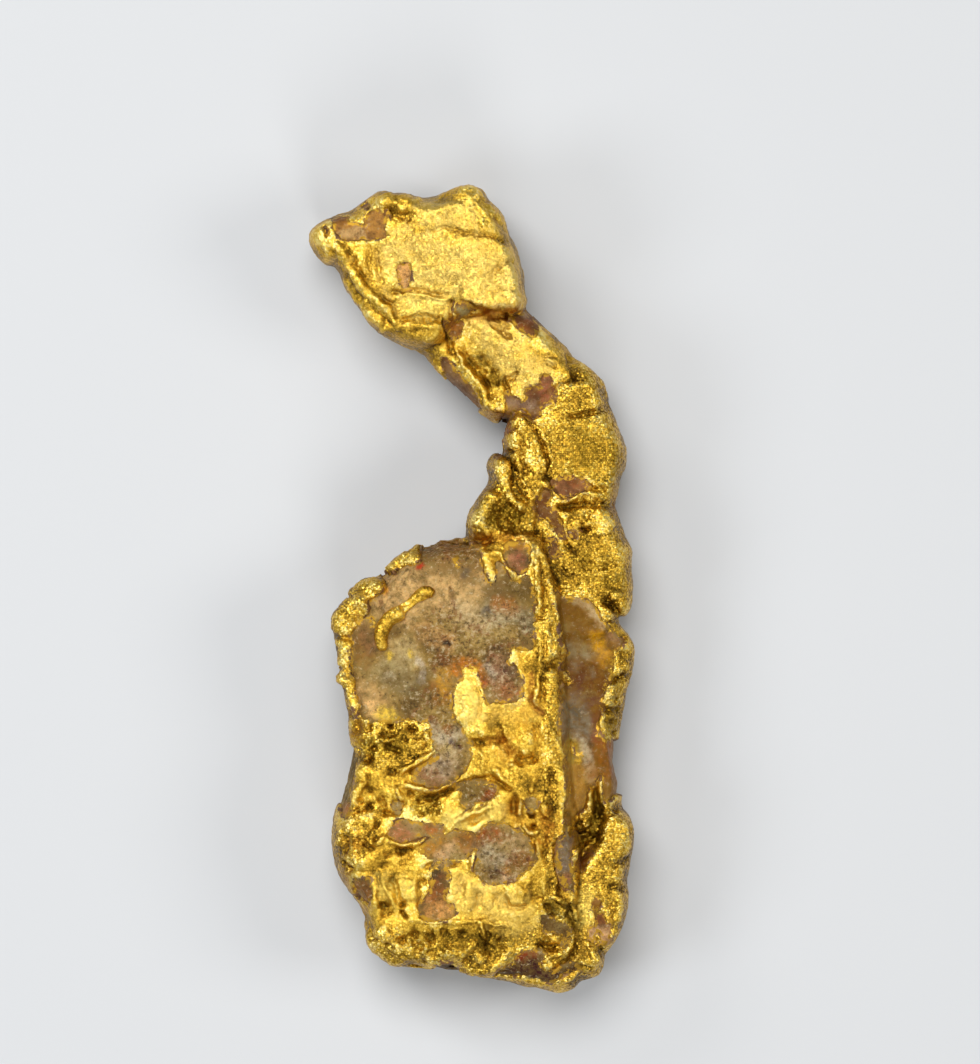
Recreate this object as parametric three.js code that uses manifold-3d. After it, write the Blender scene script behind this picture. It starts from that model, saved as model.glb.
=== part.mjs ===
// A native gold nugget that grew through quartz, lying on its back.
//
// Millimetres. +Z is up, +Y runs along the nugget towards its head and +X across it. The places below are
// measured from the middle of the nugget's length and width; the last lines put the origin at the middle of
// the nugget's footprint, on the surface that it rests on.
//
// The gold is one piece: a broad head, a neck, a column with two knobs, a body that wraps a mass of milky
// quartz, and a vein that stands up between that quartz and a seam of honey-coloured quartz beside it. The
// quartz fills the whole thickness of the upper body, and shows again through windows in the gold lower down.

import * as THREE from "three";
import { mergeVertices } from "three/addons/utils/BufferGeometryUtils.js";
import Module from "manifold-3d";

const wasm = await Module();
wasm.setup();

// Driving dimensions.
const BODY_DEPTH = 5.6; // thickness of the body, from the ground to the face of its quartz
const WAIST_LEVEL = 2.7; // height of the widest line round the nugget
const GOLD_SKIN = 0.6; // thickness of the gold that wraps the lower quartz
const QUARTZ_SINK = 0.12; // how far the quartz lies below the gold round it
const SEAT_GAP = 0.14; // clearance between the gold and the quartz that it holds
const SHORTEST_EDGE = 0.16; // edges below this length are drawn together
const WORN_DEPTH = 0.25; // how much of each resting place has been worn flat
const GROUND_REACH = 40; // half the side of the block that cuts the worn places flat
const PRISM_TOP = 12; // any height above the whole nugget
const SPREAD = 2.2; // how far the height of one point of a face is felt

// ---------------------------------------------------------------- outlines

// A smooth closed outline through a few points.
class Outline {
  constructor(points, steps = 2) {
    const curve = new THREE.CatmullRomCurve3(
      points.map(([x, y]) => new THREE.Vector3(x, y, 0)),
      true,
      "centripetal",
    );
    this.points = curve.getPoints(points.length * steps).slice(0, -1);
    this.top = Math.max(...this.points.map((p) => p.y));
    this.bottom = Math.min(...this.points.map((p) => p.y));
  }

  sides() {
    return this.points.map((p, i) => [p, this.points[(i + 1) % this.points.length]]);
  }

  // The leftmost and rightmost crossing of the outline at height y.
  span(y) {
    const inside = Math.min(this.top - 1e-3, Math.max(this.bottom + 1e-3, y));
    const crossings = this.sides()
      .filter(([a, b]) => a.y > inside !== b.y > inside)
      .map(([a, b]) => a.x + ((inside - a.y) / (b.y - a.y)) * (b.x - a.x));
    return [Math.min(...crossings), Math.max(...crossings)];
  }

  // Distance from a point to the outline: positive inside, negative outside.
  depthAt(x, y) {
    let nearest = Infinity;
    let crossed = false;
    for (const [a, b] of this.sides()) {
      const [dx, dy] = [b.x - a.x, b.y - a.y];
      const along = THREE.MathUtils.clamp(
        ((x - a.x) * dx + (y - a.y) * dy) / (dx * dx + dy * dy),
        0,
        1,
      );
      nearest = Math.min(nearest, Math.hypot(x - a.x - along * dx, y - a.y - along * dy));
      if (a.y > y !== b.y > y && x < a.x + ((y - a.y) / dy) * dx) crossed = !crossed;
    }
    return crossed ? nearest : -nearest;
  }

  // The column of material inside the outline, widened by grow.
  prism(grow = 0) {
    const shape = new THREE.Shape(this.points.map((p) => new THREE.Vector2(p.x, p.y)));
    return new THREE.ExtrudeGeometry(shape, {
      depth: 2 * PRISM_TOP,
      bevelEnabled: true,
      bevelThickness: grow,
      bevelSize: 0,
      bevelOffset: grow,
      bevelSegments: 1,
    }).translate(0, 0, -PRISM_TOP);
  }
}

// ---------------------------------------------------------------- closed forms

// Height of a face at (x, y): an average of its known heights, [x, y, height], weighted by nearness.
function heightFrom(levels, x, y) {
  let sum = 0;
  let weights = 0;
  for (const [px, py, level] of levels) {
    const weight = Math.exp(-((x - px) ** 2 + (y - py) ** 2) / (2 * SPREAD ** 2)) + 1e-9;
    sum += weight * level;
    weights += weight;
  }
  return sum / weights;
}

// Slow swelling and sinking of a natural surface, between -1 and 1.
function swell(x, y, z) {
  return (
    (Math.sin(1.9 * x + 0.7 * z + 1.3) * Math.sin(1.6 * y - 0.5 * z) +
      Math.sin(3.1 * y + 1.1 * x + 2.1) * Math.sin(2.6 * z + 0.9 * x)) /
    2
  );
}

// A pillow-shaped lobe over an outline. Both faces round down to the waist within edgeRadius of the outline,
// and inset draws the whole form inwards. The grid is a sphere's: its poles are the lobe's two ends in y.
function lobe({ outline, front, back, edgeRadius, grid, waist = WAIST_LEVEL, lumpiness = 0.1 }, inset = 0) {
  const geometry = new THREE.SphereGeometry(1, ...grid);
  const position = geometry.getAttribute("position");
  const [top, bottom] = [outline.top - inset, outline.bottom + inset];
  for (let i = 0; i < position.count; i++) {
    const polar = position.getY(i);
    const ring = Math.hypot(position.getX(i), position.getZ(i));
    const y = (top + bottom) / 2 + ((top - bottom) / 2) * polar;
    const [left, right] = outline.span(y);
    const halfWidth = ring < 1e-6 ? 0 : Math.max(0, (right - left) / 2 - inset);
    const across = ring < 1e-6 ? 0 : position.getX(i) / ring;
    const facing = ring < 1e-6 ? 0 : position.getZ(i) / ring;
    const x = (left + right) / 2 + halfWidth * across;
    const depth = Math.max(0, outline.depthAt(x, y) - inset);
    const rounding = Math.sqrt(1 - (1 - Math.min(depth / edgeRadius, 1)) ** 2);
    const face = facing > 0 ? heightFrom(front, x, y) - inset : back + inset;
    const bump = lumpiness * swell(x, y, face) * Math.sign(face - waist);
    const z = Math.abs(facing) < 1e-6 ? waist : waist + (face + bump - waist) * rounding;
    position.setXYZ(i, x, y, z);
  }
  return geometry;
}

// A rounded strand carried along a path of [x, y, z, radius] points, closed and blunt at both ends.
function strand(path, { around = 6, along = 8, flatten = 1 } = {}) {
  const spine = new THREE.CatmullRomCurve3(path.map(([x, y, z]) => new THREE.Vector3(x, y, z)));
  const radii = new THREE.CatmullRomCurve3(path.map(([, , , r]) => new THREE.Vector3(r, 0, 0)));
  const geometry = new THREE.SphereGeometry(1, around, along);
  const position = geometry.getAttribute("position");
  const up = new THREE.Vector3(0, 0, 1);
  for (let i = 0; i < position.count; i++) {
    const polar = THREE.MathUtils.clamp(position.getY(i), -1, 1);
    const share = (1 - polar) / 2;
    const ring = Math.hypot(position.getX(i), position.getZ(i));
    const forward = spine.getTangent(share);
    const side = new THREE.Vector3().crossVectors(up, forward).normalize();
    const lift = new THREE.Vector3().crossVectors(forward, side);
    const radius = ring < 1e-6 ? 0 : radii.getPoint(share).x * Math.sqrt(ring);
    const middle = spine.getPoint(share);
    middle.addScaledVector(side, (radius * position.getX(i)) / Math.max(ring, 1e-6));
    middle.addScaledVector(lift, (radius * flatten * position.getZ(i)) / Math.max(ring, 1e-6));
    position.setXYZ(i, middle.x, middle.y, middle.z);
  }
  return geometry;
}

// A rounded lump at [x, y, z] with half sizes [a, b, c], turned about Z by so many degrees.
function lump([x, y, z], [a, b, c], degrees = 0, grid = [8, 5]) {
  return new THREE.SphereGeometry(1, ...grid)
    .scale(a, b, c)
    .rotateZ(THREE.MathUtils.degToRad(degrees))
    .translate(x, y, z);
}

// ---------------------------------------------------------------- joining and cutting

// A closed geometry as a manifold-3d solid. Doubled vertices are merged and collapsed triangles dropped.
function solid(geometry) {
  const bare = new THREE.BufferGeometry().setAttribute("position", geometry.getAttribute("position"));
  if (geometry.index) bare.setIndex(geometry.index);
  const merged = mergeVertices(bare, 1e-4);
  const corners = Array.from(merged.index.array);
  const kept = [];
  for (let i = 0; i < corners.length; i += 3) {
    const [a, b, c] = corners.slice(i, i + 3);
    if (a !== b && b !== c && a !== c) kept.push(a, b, c);
  }
  return new wasm.Manifold(
    new wasm.Mesh({
      numProp: 3,
      vertProperties: new Float32Array(merged.getAttribute("position").array),
      triVerts: new Uint32Array(kept),
    }),
  );
}

function joined(parts) {
  return parts.map((part) => (part.getMesh ? part : solid(part))).reduce((all, part) => all.add(part));
}

function cut(whole, tools) {
  return tools.reduce((left, tool) => left.subtract(tool), whole);
}

// The largest body of a solid: the crumbs that a cut leaves fall away.
function largestBody(whole) {
  return whole.decompose().reduce((a, b) => (a.volume() > b.volume() ? a : b));
}

// A solid without its shortest edges. Each is drawn together to its middle, unless that would pinch the
// skin (its two ends share more than two neighbours) or turn a face over.
function withoutSlivers(whole) {
  const mesh = whole.getMesh();
  const points = Array.from({ length: mesh.numVert }, (_, i) =>
    new THREE.Vector3().fromArray(mesh.vertProperties, i * mesh.numProp),
  );
  const faces = [];
  for (let i = 0; i < mesh.triVerts.length; i += 3) faces.push([...mesh.triVerts.slice(i, i + 3)]);
  const around = points.map(() => new Set());
  faces.forEach((face, i) => face.forEach((v) => around[v].add(i)));
  const neighbours = (v) => new Set([...around[v]].flatMap((i) => faces[i]).filter((w) => w !== v));
  const normal = ([a, b, c]) => new THREE.Triangle(a, b, c).getNormal(new THREE.Vector3());

  const drawnTogether = (a, b) => {
    const near = neighbours(a);
    if (!near.has(b) || points[a].distanceTo(points[b]) > SHORTEST_EDGE) return false;
    if ([...neighbours(b)].filter((v) => near.has(v)).length !== 2) return false;
    const middle = points[a].clone().lerp(points[b], 0.5);
    const lost = [...around[a]].filter((i) => faces[i].includes(b));
    const kept = [...around[a], ...around[b]].filter((i) => !lost.includes(i));
    const turns = kept.some((i) => {
      const before = faces[i].map((v) => points[v]);
      const after = faces[i].map((v) => (v === a || v === b ? middle : points[v]));
      const area = new THREE.Triangle(...before).getArea();
      return area > 1e-4 && normal(before).dot(normal(after)) < 0.5;
    });
    if (turns) return false;
    points[a] = middle;
    for (const i of lost) {
      faces[i].forEach((v) => around[v].delete(i));
      faces[i] = null;
    }
    for (const i of around[b]) {
      faces[i] = faces[i].map((v) => (v === b ? a : v));
      around[a].add(i);
    }
    around[b].clear();
    return true;
  };

  for (let pass = 0; pass < 4; pass++) {
    const edges = faces
      .filter(Boolean)
      .flatMap(([a, b, c]) => [[a, b], [b, c], [c, a]])
      .filter(([a, b]) => a < b && points[a].distanceTo(points[b]) < SHORTEST_EDGE)
      .sort(([a, b], [c, d]) => points[a].distanceTo(points[b]) - points[c].distanceTo(points[d]));
    if (!edges.filter(([a, b]) => drawnTogether(a, b)).length) break;
  }
  const geometry = new THREE.BufferGeometry()
    .setAttribute("position", new THREE.Float32BufferAttribute(points.flatMap((p) => p.toArray()), 3))
    .setIndex(faces.filter(Boolean).flat());
  return solid(geometry.toNonIndexed());
}

// A finished piece as a named mesh with its own material.
function piece(name, whole, material) {
  const mesh = largestBody(withoutSlivers(whole)).getMesh();
  const geometry = new THREE.BufferGeometry()
    .setAttribute("position", new THREE.BufferAttribute(new Float32Array(mesh.vertProperties), 3))
    .setIndex(new THREE.BufferAttribute(new Uint32Array(mesh.triVerts), 1));
  geometry.computeVertexNormals();
  const made = new THREE.Mesh(geometry, new THREE.MeshStandardMaterial(material));
  made.name = name;
  return made;
}

// ---------------------------------------------------------------- the nugget's lobes

const HEAD = {
  outline: new Outline([
    [-6.45, 14.2], [-6.15, 14.65], [-5.45, 14.95], [-4.55, 15.3], [-3.85, 15.8], [-3.05, 15.85],
    [-1.85, 15.65], [-1.05, 15.85], [-0.15, 16.1], [0.6, 15.65], [1.25, 14.7], [1.75, 13.7],
    [2.05, 12.4], [2.25, 11.4], [1.75, 10.9], [0.55, 10.95], [-0.55, 10.5], [-1.05, 9.8],
    [-2.15, 9.7], [-3.2, 10.0], [-4.15, 10.8], [-4.8, 11.8], [-5.2, 12.7], [-5.85, 13.1],
    [-6.35, 13.6],
  ]),
  front: [
    [-5.9, 14.0, 3.9], [-4.9, 14.4, 4.4], [-3.4, 14.8, 5.0], [-2.9, 13.2, 5.2], [-1.2, 14.4, 5.4],
    [-0.1, 15.4, 5.2], [0.3, 13.2, 5.6], [1.5, 12.0, 5.8], [-1.7, 11.2, 5.0], [-3.7, 11.6, 4.5],
    [-4.5, 12.4, 4.3], [-2.9, 10.3, 4.2],
  ],
  back: -WORN_DEPTH,
  edgeRadius: 1.5,
  grid: [22, 17],
};

const NECK = {
  outline: new Outline([
    [0.0, 11.9], [1.75, 11.6], [2.6, 10.8], [3.35, 10.1], [4.0, 9.3], [5.05, 8.6], [5.4, 7.8],
    [5.2, 6.4], [3.55, 6.0], [2.15, 6.6], [1.2, 6.75], [0.55, 7.05], [-0.4, 7.9], [-1.35, 8.8],
    [-2.15, 9.7], [-1.25, 11.0],
  ]),
  front: [
    [-1.3, 9.6, 3.9], [0.0, 8.3, 3.6], [0.4, 10.2, 4.4], [2.0, 9.4, 4.7], [3.0, 9.9, 4.4],
    [1.2, 7.6, 4.3], [2.8, 8.0, 4.6], [4.8, 8.0, 4.3],
  ],
  back: 0.7,
  edgeRadius: 1.4,
  grid: [14, 12],
};

const COLUMN = {
  outline: new Outline([
    [3.35, 7.6], [4.75, 8.9], [5.35, 8.0], [5.7, 6.9], [6.05, 6.1], [6.2, 5.3], [6.1, 4.6],
    [5.85, 3.9], [5.7, 3.5], [5.9, 3.0], [6.0, 2.5], [6.25, 2.0], [6.4, 1.5], [6.4, 0.8],
    [6.45, -0.1], [6.35, -0.7], [6.0, -1.3], [5.3, -1.4], [4.75, -0.8], [3.9, -0.9], [2.7, -0.9],
    [2.4, 0.6], [2.4, 2.4], [2.55, 4.0], [2.7, 5.4], [2.75, 6.4],
  ]),
  front: [
    [4.3, 6.4, 4.9], [5.5, 5.6, 4.5], [3.5, 4.8, 4.7], [5.4, 4.6, 4.5], [4.3, 3.6, 4.6],
    [4.5, 2.0, 5.0], [5.7, 1.2, 4.5], [3.5, 1.2, 4.8], [5.1, -0.4, 4.5], [5.9, -0.8, 4.0],
  ],
  back: 0.5,
  edgeRadius: 1.5,
  grid: [14, 18],
};

const UPPER_KNOB = {
  outline: new Outline([
    [2.0, 7.15], [2.4, 6.8], [2.8, 6.1], [3.0, 5.3], [2.95, 4.4], [2.55, 3.6], [1.75, 3.4],
    [1.3, 4.8], [1.25, 5.8], [1.35, 6.5], [1.6, 6.9],
  ]),
  front: [[2.0, 6.5, 4.6], [2.2, 5.4, 5.0], [2.2, 4.4, 4.8]],
  back: 1.2,
  edgeRadius: 0.8,
  grid: [10, 7],
};

const LOWER_KNOB = {
  outline: new Outline([
    [1.25, 5.5], [1.75, 5.1], [2.15, 4.4], [2.55, 3.6], [2.75, 2.8], [2.55, 1.8], [1.15, 1.2],
    [0.0, 1.6], [-0.15, 2.5], [-0.05, 3.1], [0.25, 3.6], [0.6, 4.15], [0.8, 4.55], [0.65, 4.95],
    [0.8, 5.3],
  ]),
  front: [[1.3, 4.9, 4.4], [1.3, 3.8, 5.1], [0.4, 2.8, 5.2], [1.9, 3.0, 5.4], [1.2, 1.9, 4.7]],
  back: 0.9,
  edgeRadius: 0.9,
  grid: [12, 9],
};

const BODY = {
  outline: new Outline(
    [
      [-0.25, 1.95], [-1.25, 2.1], [-2.05, 1.75], [-2.85, 1.3], [-3.45, 0.6], [-4.4, 0.15],
      [-5.05, -0.5], [-5.4, -1.2], [-5.4, -2.0], [-5.2, -3.6], [-4.9, -5.0], [-4.8, -6.2],
      [-5.05, -7.6], [-5.4, -8.7], [-5.55, -9.6], [-5.4, -10.8], [-5.05, -11.8], [-4.4, -12.8],
      [-4.2, -13.8], [-3.65, -14.7], [-2.8, -15.05], [-1.65, -15.1], [-0.05, -15.35],
      [1.35, -15.65], [2.6, -15.9], [3.4, -16.1], [4.25, -15.75], [5.05, -15.35], [5.3, -14.7],
      [4.75, -13.6], [3.95, -12.4], [3.8, -10.8], [3.8, -8.4], [3.8, -6.0], [3.65, -4.4],
      [3.6, -2.4], [3.55, -0.4], [3.2, 1.2], [2.95, 2.0], [1.15, 2.2],
    ],
    2,
  ),
  front: [
    [-1.3, 1.2, BODY_DEPTH - 0.7], [-3.0, 0.2, 4.8], [-4.5, -0.9, 4.7], [-4.8, -2.8, 4.8],
    [-2.8, -2.0, 5.2], [-0.8, -1.2, 5.4], [1.2, -0.4, 5.5], [2.9, -1.0, 5.7], [2.9, -4.0, 5.8],
    [1.1, -3.6, BODY_DEPTH], [-1.7, -4.4, 5.3], [-4.4, -5.4, 4.9], [-3.6, -6.6, 5.2],
    [-0.8, -6.8, 5.3], [1.6, -6.4, 5.7], [2.9, -7.6, 6.0], [-4.9, -9.2, 4.9], [-2.9, -9.6, 5.3],
    [1.1, -10.4, 5.6], [2.9, -10.8, 5.9], [-3.7, -12.4, 5.2], [-0.9, -12.4, 5.6],
    [1.9, -13.0, 5.5], [-2.9, -14.4, 4.0], [-0.8, -14.9, 3.7], [2.0, -15.1, 3.7],
    [3.5, -15.3, 3.4], [3.6, -13.6, 4.6],
  ],
  back: -WORN_DEPTH,
  edgeRadius: 1.7,
  grid: [26, 26],
  lumpiness: 0.14,
};

const SEAM_SIDE = {
  outline: new Outline([
    [2.95, 0.0], [4.15, 0.0], [5.15, -0.9], [6.0, -1.5], [6.4, -2.1], [6.45, -2.7], [6.4, -3.4],
    [6.2, -4.2], [6.0, -5.1], [5.85, -6.2], [5.9, -7.2], [6.0, -7.7], [5.95, -8.4], [5.85, -9.4],
    [5.7, -10.8], [5.5, -12.4], [5.2, -13.8], [4.2, -14.4], [2.9, -13.0], [2.6, -9.0], [2.6, -5.0],
    [2.6, -1.6],
  ]),
  front: [
    [4.5, -2.0, 4.4], [4.7, -4.4, 4.3], [4.7, -6.8, 4.4], [4.1, -7.8, 4.2], [5.8, -2.8, 3.9],
    [5.6, -5.0, 3.9], [4.1, -10.4, 3.8], [4.6, -12.6, 3.9],
  ],
  back: 0.6,
  edgeRadius: 1.3,
  grid: [14, 15],
};

const HEEL = {
  outline: new Outline([
    [5.45, -8.7], [6.0, -8.9], [6.4, -9.35], [6.45, -9.9], [6.35, -10.6], [6.2, -11.6],
    [6.2, -12.5], [6.05, -13.3], [5.65, -14.15], [5.3, -14.8], [4.75, -15.0], [4.25, -14.4],
    [4.1, -13.4], [4.25, -12.4], [4.35, -11.6], [4.65, -10.6], [5.0, -9.8], [5.2, -9.2],
  ]),
  front: [[5.7, -9.6, 4.5], [5.4, -11.2, 4.9], [5.4, -13.0, 4.8], [4.9, -14.4, 4.1]],
  back: 0.4,
  edgeRadius: 1.0,
  grid: [12, 11],
};

// ---------------------------------------------------------------- strands, ledges and lumps of gold

// The vein: two strands side by side, from the column down to the foot of the body.
const VEIN_STRANDS = [
  [[2.5, 1.9, 5.3, 0.3], [2.65, 0.2, 5.9, 0.33], [2.6, -1.6, 6.1, 0.36], [2.75, -3.2, 6.2, 0.34],
   [2.6, -5.2, 6.1, 0.36], [2.75, -7.2, 6.2, 0.4], [2.7, -9.4, 6.1, 0.42], [2.8, -12.0, 5.8, 0.45]],
  [[2.9, 1.4, 5.2, 0.3], [3.1, -0.4, 5.8, 0.36], [3.3, -1.9, 6.0, 0.38], [3.3, -4.4, 6.1, 0.4],
   [3.4, -7.2, 6.1, 0.42], [3.4, -10.0, 5.9, 0.42], [3.6, -12.8, 5.2, 0.5]],
];

// The rims that curl over the edges of the quartz and of the head.
const RIM_STRANDS = [
  // round the head: nose, lower left edge, top
  [[-5.9, 14.0, 3.7, 0.62], [-5.3, 13.0, 3.9, 0.45], [-4.4, 11.9, 4.1, 0.42],
   [-3.6, 10.8, 4.2, 0.42], [-2.2, 10.4, 4.3, 0.34]],
  [[-4.2, 11.4, 4.6, 0.25], [-3.4, 10.6, 4.8, 0.28], [-2.9, 10.4, 4.7, 0.2]],
  [[-3.6, 15.3, 4.6, 0.42], [-2.4, 15.2, 4.9, 0.36], [-1.2, 15.3, 5.0, 0.36], [0.0, 15.5, 4.9, 0.4]],
  // the lower left fold of the neck
  [[-0.9, 9.4, 3.8, 0.32], [0.2, 8.2, 3.9, 0.34], [0.9, 7.2, 3.8, 0.42]],
  // left rim of the body, and the short rim above it
  [[-3.9, -0.1, 4.3, 0.5], [-4.7, -0.8, 4.4, 0.5], [-4.95, -2.2, 4.5, 0.4], [-4.7, -3.8, 4.6, 0.4],
   [-4.5, -5.2, 4.7, 0.5]],
  [[-3.3, 0.7, 4.1, 0.2], [-2.6, 1.2, 4.3, 0.3], [-2.1, 1.6, 4.2, 0.24]],
  // right rim, from the column down beside the honey quartz
  [[5.2, -1.0, 4.2, 0.45], [5.9, -2.0, 3.9, 0.42], [6.0, -3.2, 3.8, 0.5], [5.7, -4.4, 3.8, 0.5],
   [5.5, -5.6, 3.8, 0.45]],
];

// The folds that cross the lower body.
const FOLD_STRANDS = [
  [[-4.4, -6.6, 5.0, 0.34], [-2.9, -7.0, 5.4, 0.34], [-1.5, -6.4, 5.5, 0.26]],
  [[-4.6, -8.6, 4.9, 0.34], [-3.2, -7.9, 5.4, 0.34], [-1.6, -8.2, 5.5, 0.32],
   [-0.2, -7.5, 5.6, 0.3], [1.4, -7.0, 5.8, 0.34]],
  [[-4.9, -10.2, 4.9, 0.36], [-3.3, -9.9, 5.4, 0.34], [-2.0, -10.0, 5.4, 0.26]],
  [[-0.9, -9.0, 5.5, 0.26], [0.6, -8.9, 5.7, 0.3], [1.7, -8.0, 5.9, 0.3]],
  [[-4.1, -13.6, 5.0, 0.44], [-2.9, -13.4, 5.3, 0.4], [-1.0, -13.2, 5.5, 0.4],
   [0.8, -13.3, 5.5, 0.4], [2.2, -13.3, 5.4, 0.4]],
  [[2.2, -14.7, 4.3, 0.36], [3.2, -14.8, 4.2, 0.42], [3.9, -14.2, 4.3, 0.36], [4.1, -13.4, 4.6, 0.3]],
];

// Drops and knuckles on the body, the neck and the foot.
const LUMPS = [
  [[0.75, 1.1, 5.2], [0.34, 0.62, 0.4], 12],
  [[1.6, 0.75, 5.3], [0.24, 0.5, 0.3], 40],
  [[-5.95, 14.0, 3.3], [0.5, 0.75, 0.9], 10],
  [[0.9, 5.0, 4.0], [0.34, 0.42, 0.9], 0],
  [[1.9, -12.0, 5.5], [0.6, 0.55, 0.4], 0],
  [[-3.6, -14.0, 4.6], [0.6, 0.6, 0.6], 0],
  [[0.9, -14.9, 3.9], [0.6, 0.4, 0.5], 8],
  [[2.7, -14.1, 4.9], [0.8, 0.35, 0.35], 0],
  [[5.3, -1.2, 4.5], [0.5, 0.4, 0.35], -30],
  [[4.5, -8.3, 4.3], [0.3, 0.9, 0.35], -20],
  [[5.0, -8.2, 4.2], [0.25, 0.8, 0.35], -8],
  [[-3.3, -5.9, 5.3], [1.1, 0.5, 0.32], 5],
  [[-1.0, -5.6, 5.2], [0.6, 0.45, 0.3], 0],
];

// Hollows sunk in the gold: centre, half sizes, turn.
const PITS = [
  [[-4.0, -6.3, 5.5], [0.32, 0.34, 0.5], 0],
  [[-3.0, -6.2, 5.7], [0.36, 0.26, 0.5], 0],
  [[-1.4, -8.8, 5.8], [0.5, 0.26, 0.5], 10],
  [[-3.5, -12.5, 5.6], [0.34, 0.5, 0.5], 0],
  [[-2.6, -12.6, 5.7], [0.26, 0.4, 0.5], 0],
  [[2.5, -8.8, 6.2], [0.26, 0.5, 0.6], 0],
  [[2.9, -13.0, 5.7], [0.5, 0.28, 0.5], 0],
  [[0.5, 12.9, 6.0], [0.6, 0.3, 0.4], 20],
];

// ---------------------------------------------------------------- the quartz

// The block of milky quartz that fills the upper body from back to front.
const QUARTZ_BLOCK = new Outline([
  [-3.75, 0.3], [-2.8, 0.95], [-1.85, 1.6], [-0.45, 2.4], [2.35, 2.4], [2.35, -2.2], [1.5, -2.5],
  [0.3, -2.9], [-0.7, -3.3], [-1.6, -4.3], [-2.8, -4.9], [-4.3, -5.0], [-4.6, -3.6],
  [-4.75, -2.0], [-4.4, -0.9],
]);

// The windows through which the quartz of the body shows lower down.
const WINDOWS = [
  [[-2.2, -4.2], [-1.3, -3.8], [-0.7, -3.3], [-0.7, -5.0], [-0.2, -6.2], [-0.5, -7.4],
    [-1.8, -7.6], [-2.3, -6.9], [-1.6, -5.9], [-1.9, -5.2]],
  [[0.5, -2.6], [1.4, -2.4], [1.75, -4.4], [0.5, -4.4]],
  [[-0.4, -7.85], [0.3, -7.7], [1.0, -7.9], [0.3, -8.45], [-0.3, -8.5]],
  [[0.5, -9.3], [1.6, -9.2], [2.3, -10.1], [2.2, -11.2], [1.2, -11.6], [0.3, -11.3],
    [-0.1, -10.7], [-1.4, -10.6], [-1.9, -10.0], [-0.9, -9.5]],
  [[-3.0, -9.3], [-2.4, -9.1], [-1.4, -9.3], [-1.5, -9.7], [-2.6, -9.9]],
  [[-1.5, -11.2], [-0.9, -11.2], [-1.0, -12.2], [-0.7, -12.9], [-1.9, -13.0], [-1.8, -12.2]],
  [[-4.7, -11.4], [-4.0, -11.2], [-4.0, -12.4], [-4.5, -12.3]],
  [[1.7, -14.5], [2.4, -14.4], [2.6, -15.0], [3.6, -15.2], [3.2, -15.6], [1.9, -15.3],
    [1.2, -15.2]],
].map((points) => new Outline(points, 1));

// Where the honey quartz reaches the surface, right of the vein.
const HONEY_FACE = new Outline([
  [3.75, -0.4], [4.2, -0.3], [5.0, -1.2], [5.55, -2.3], [5.4, -3.4], [5.2, -4.4], [5.0, -5.8],
  [6.6, -6.1], [6.6, -8.0], [5.4, -8.2], [4.7, -8.3], [4.2, -9.0], [3.75, -9.3], [3.75, -4.4],
]);

// The grains shut in the head, the neck and the column: the outline and its lobe.
const GRAINS = [
  ["head_quartz", HEAD, new Outline([
    [-5.15, 14.1], [-4.7, 14.6], [-4.1, 15.0], [-3.6, 14.5], [-3.45, 13.95], [-4.4, 13.85]], 1)],
  ["neck_quartz", NECK, new Outline([
    [1.4, 7.5], [2.1, 7.3], [2.7, 7.0], [3.1, 7.5], [3.15, 8.5], [2.8, 8.6], [2.4, 7.9]], 1)],
  ["column_quartz", COLUMN, new Outline([
    [3.2, 4.0], [3.9, 3.7], [4.5, 3.9], [4.4, 4.45], [3.8, 4.4], [3.3, 4.35]], 1)],
];
const GRAIN_DEPTH = 1.2;
const BURIED_GRID = [16, 16];

// A block that keeps only what lies above the given height.
function above(level) {
  const side = 2 * GROUND_REACH;
  return solid(new THREE.BoxGeometry(side, side, side).translate(0, 0, level + GROUND_REACH));
}

// The milky quartz: the whole thickness of the upper body, a mass inside the gold of the lower body, and the
// faces that fill its windows.
function milkyQuartz(grow) {
  const face = solid(lobe(BODY, QUARTZ_SINK - grow));
  const upper = face.intersect(solid(QUARTZ_BLOCK.prism(grow)));
  const mass = { ...BODY, grid: BURIED_GRID };
  const buried = solid(lobe(mass, GOLD_SKIN + QUARTZ_SINK - grow)).intersect(
    solid(new THREE.BoxGeometry(8.4 + 2 * grow, 12 + 2 * grow, 12).translate(-1.9, -8.2, WAIST_LEVEL)),
  );
  const shallow = above(WAIST_LEVEL - grow);
  const windows = WINDOWS.map((w) => face.intersect(solid(w.prism(grow))).intersect(shallow));
  return joined([upper, buried, ...windows]).intersect(above(0.02));
}

// The honey quartz: a seam through the whole thickness, between the vein and the right rim.
function honeyQuartz(grow) {
  return solid(lobe(SEAM_SIDE, QUARTZ_SINK - grow)).intersect(solid(HONEY_FACE.prism(grow)));
}

// A grain shut in the gold, down to GRAIN_DEPTH below the face of its lobe.
function grain(host, outline, grow) {
  return solid(lobe(host, QUARTZ_SINK - grow))
    .subtract(solid(lobe(host, GRAIN_DEPTH + grow)))
    .intersect(solid(outline.prism(grow)))
    .intersect(above(WAIST_LEVEL - grow));
}

// ---------------------------------------------------------------- the gold

// The short hooked wire that lies by itself on the milky quartz.
function hookedWire() {
  return joined([
    strand([[-3.45, -2.2, 5.15, 0.24], [-3.5, -1.5, 5.15, 0.3], [-3.1, -1.1, 5.2, 0.28],
      [-2.65, -0.85, 5.2, 0.26]], { along: 10 }),
    strand([[-3.0, -1.0, 5.15, 0.12], [-2.3, -0.4, 5.15, 0.12], [-1.9, -0.05, 5.15, 0.2],
      [-1.45, -0.15, 5.15, 0.2]], { along: 8 }),
  ]);
}

// The way down to a grain from the face of its lobe.
function well(host, outline) {
  return solid(outline.prism(SEAT_GAP))
    .intersect(above(WAIST_LEVEL - SEAT_GAP))
    .subtract(solid(lobe(host, GRAIN_DEPTH + SEAT_GAP)));
}

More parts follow.
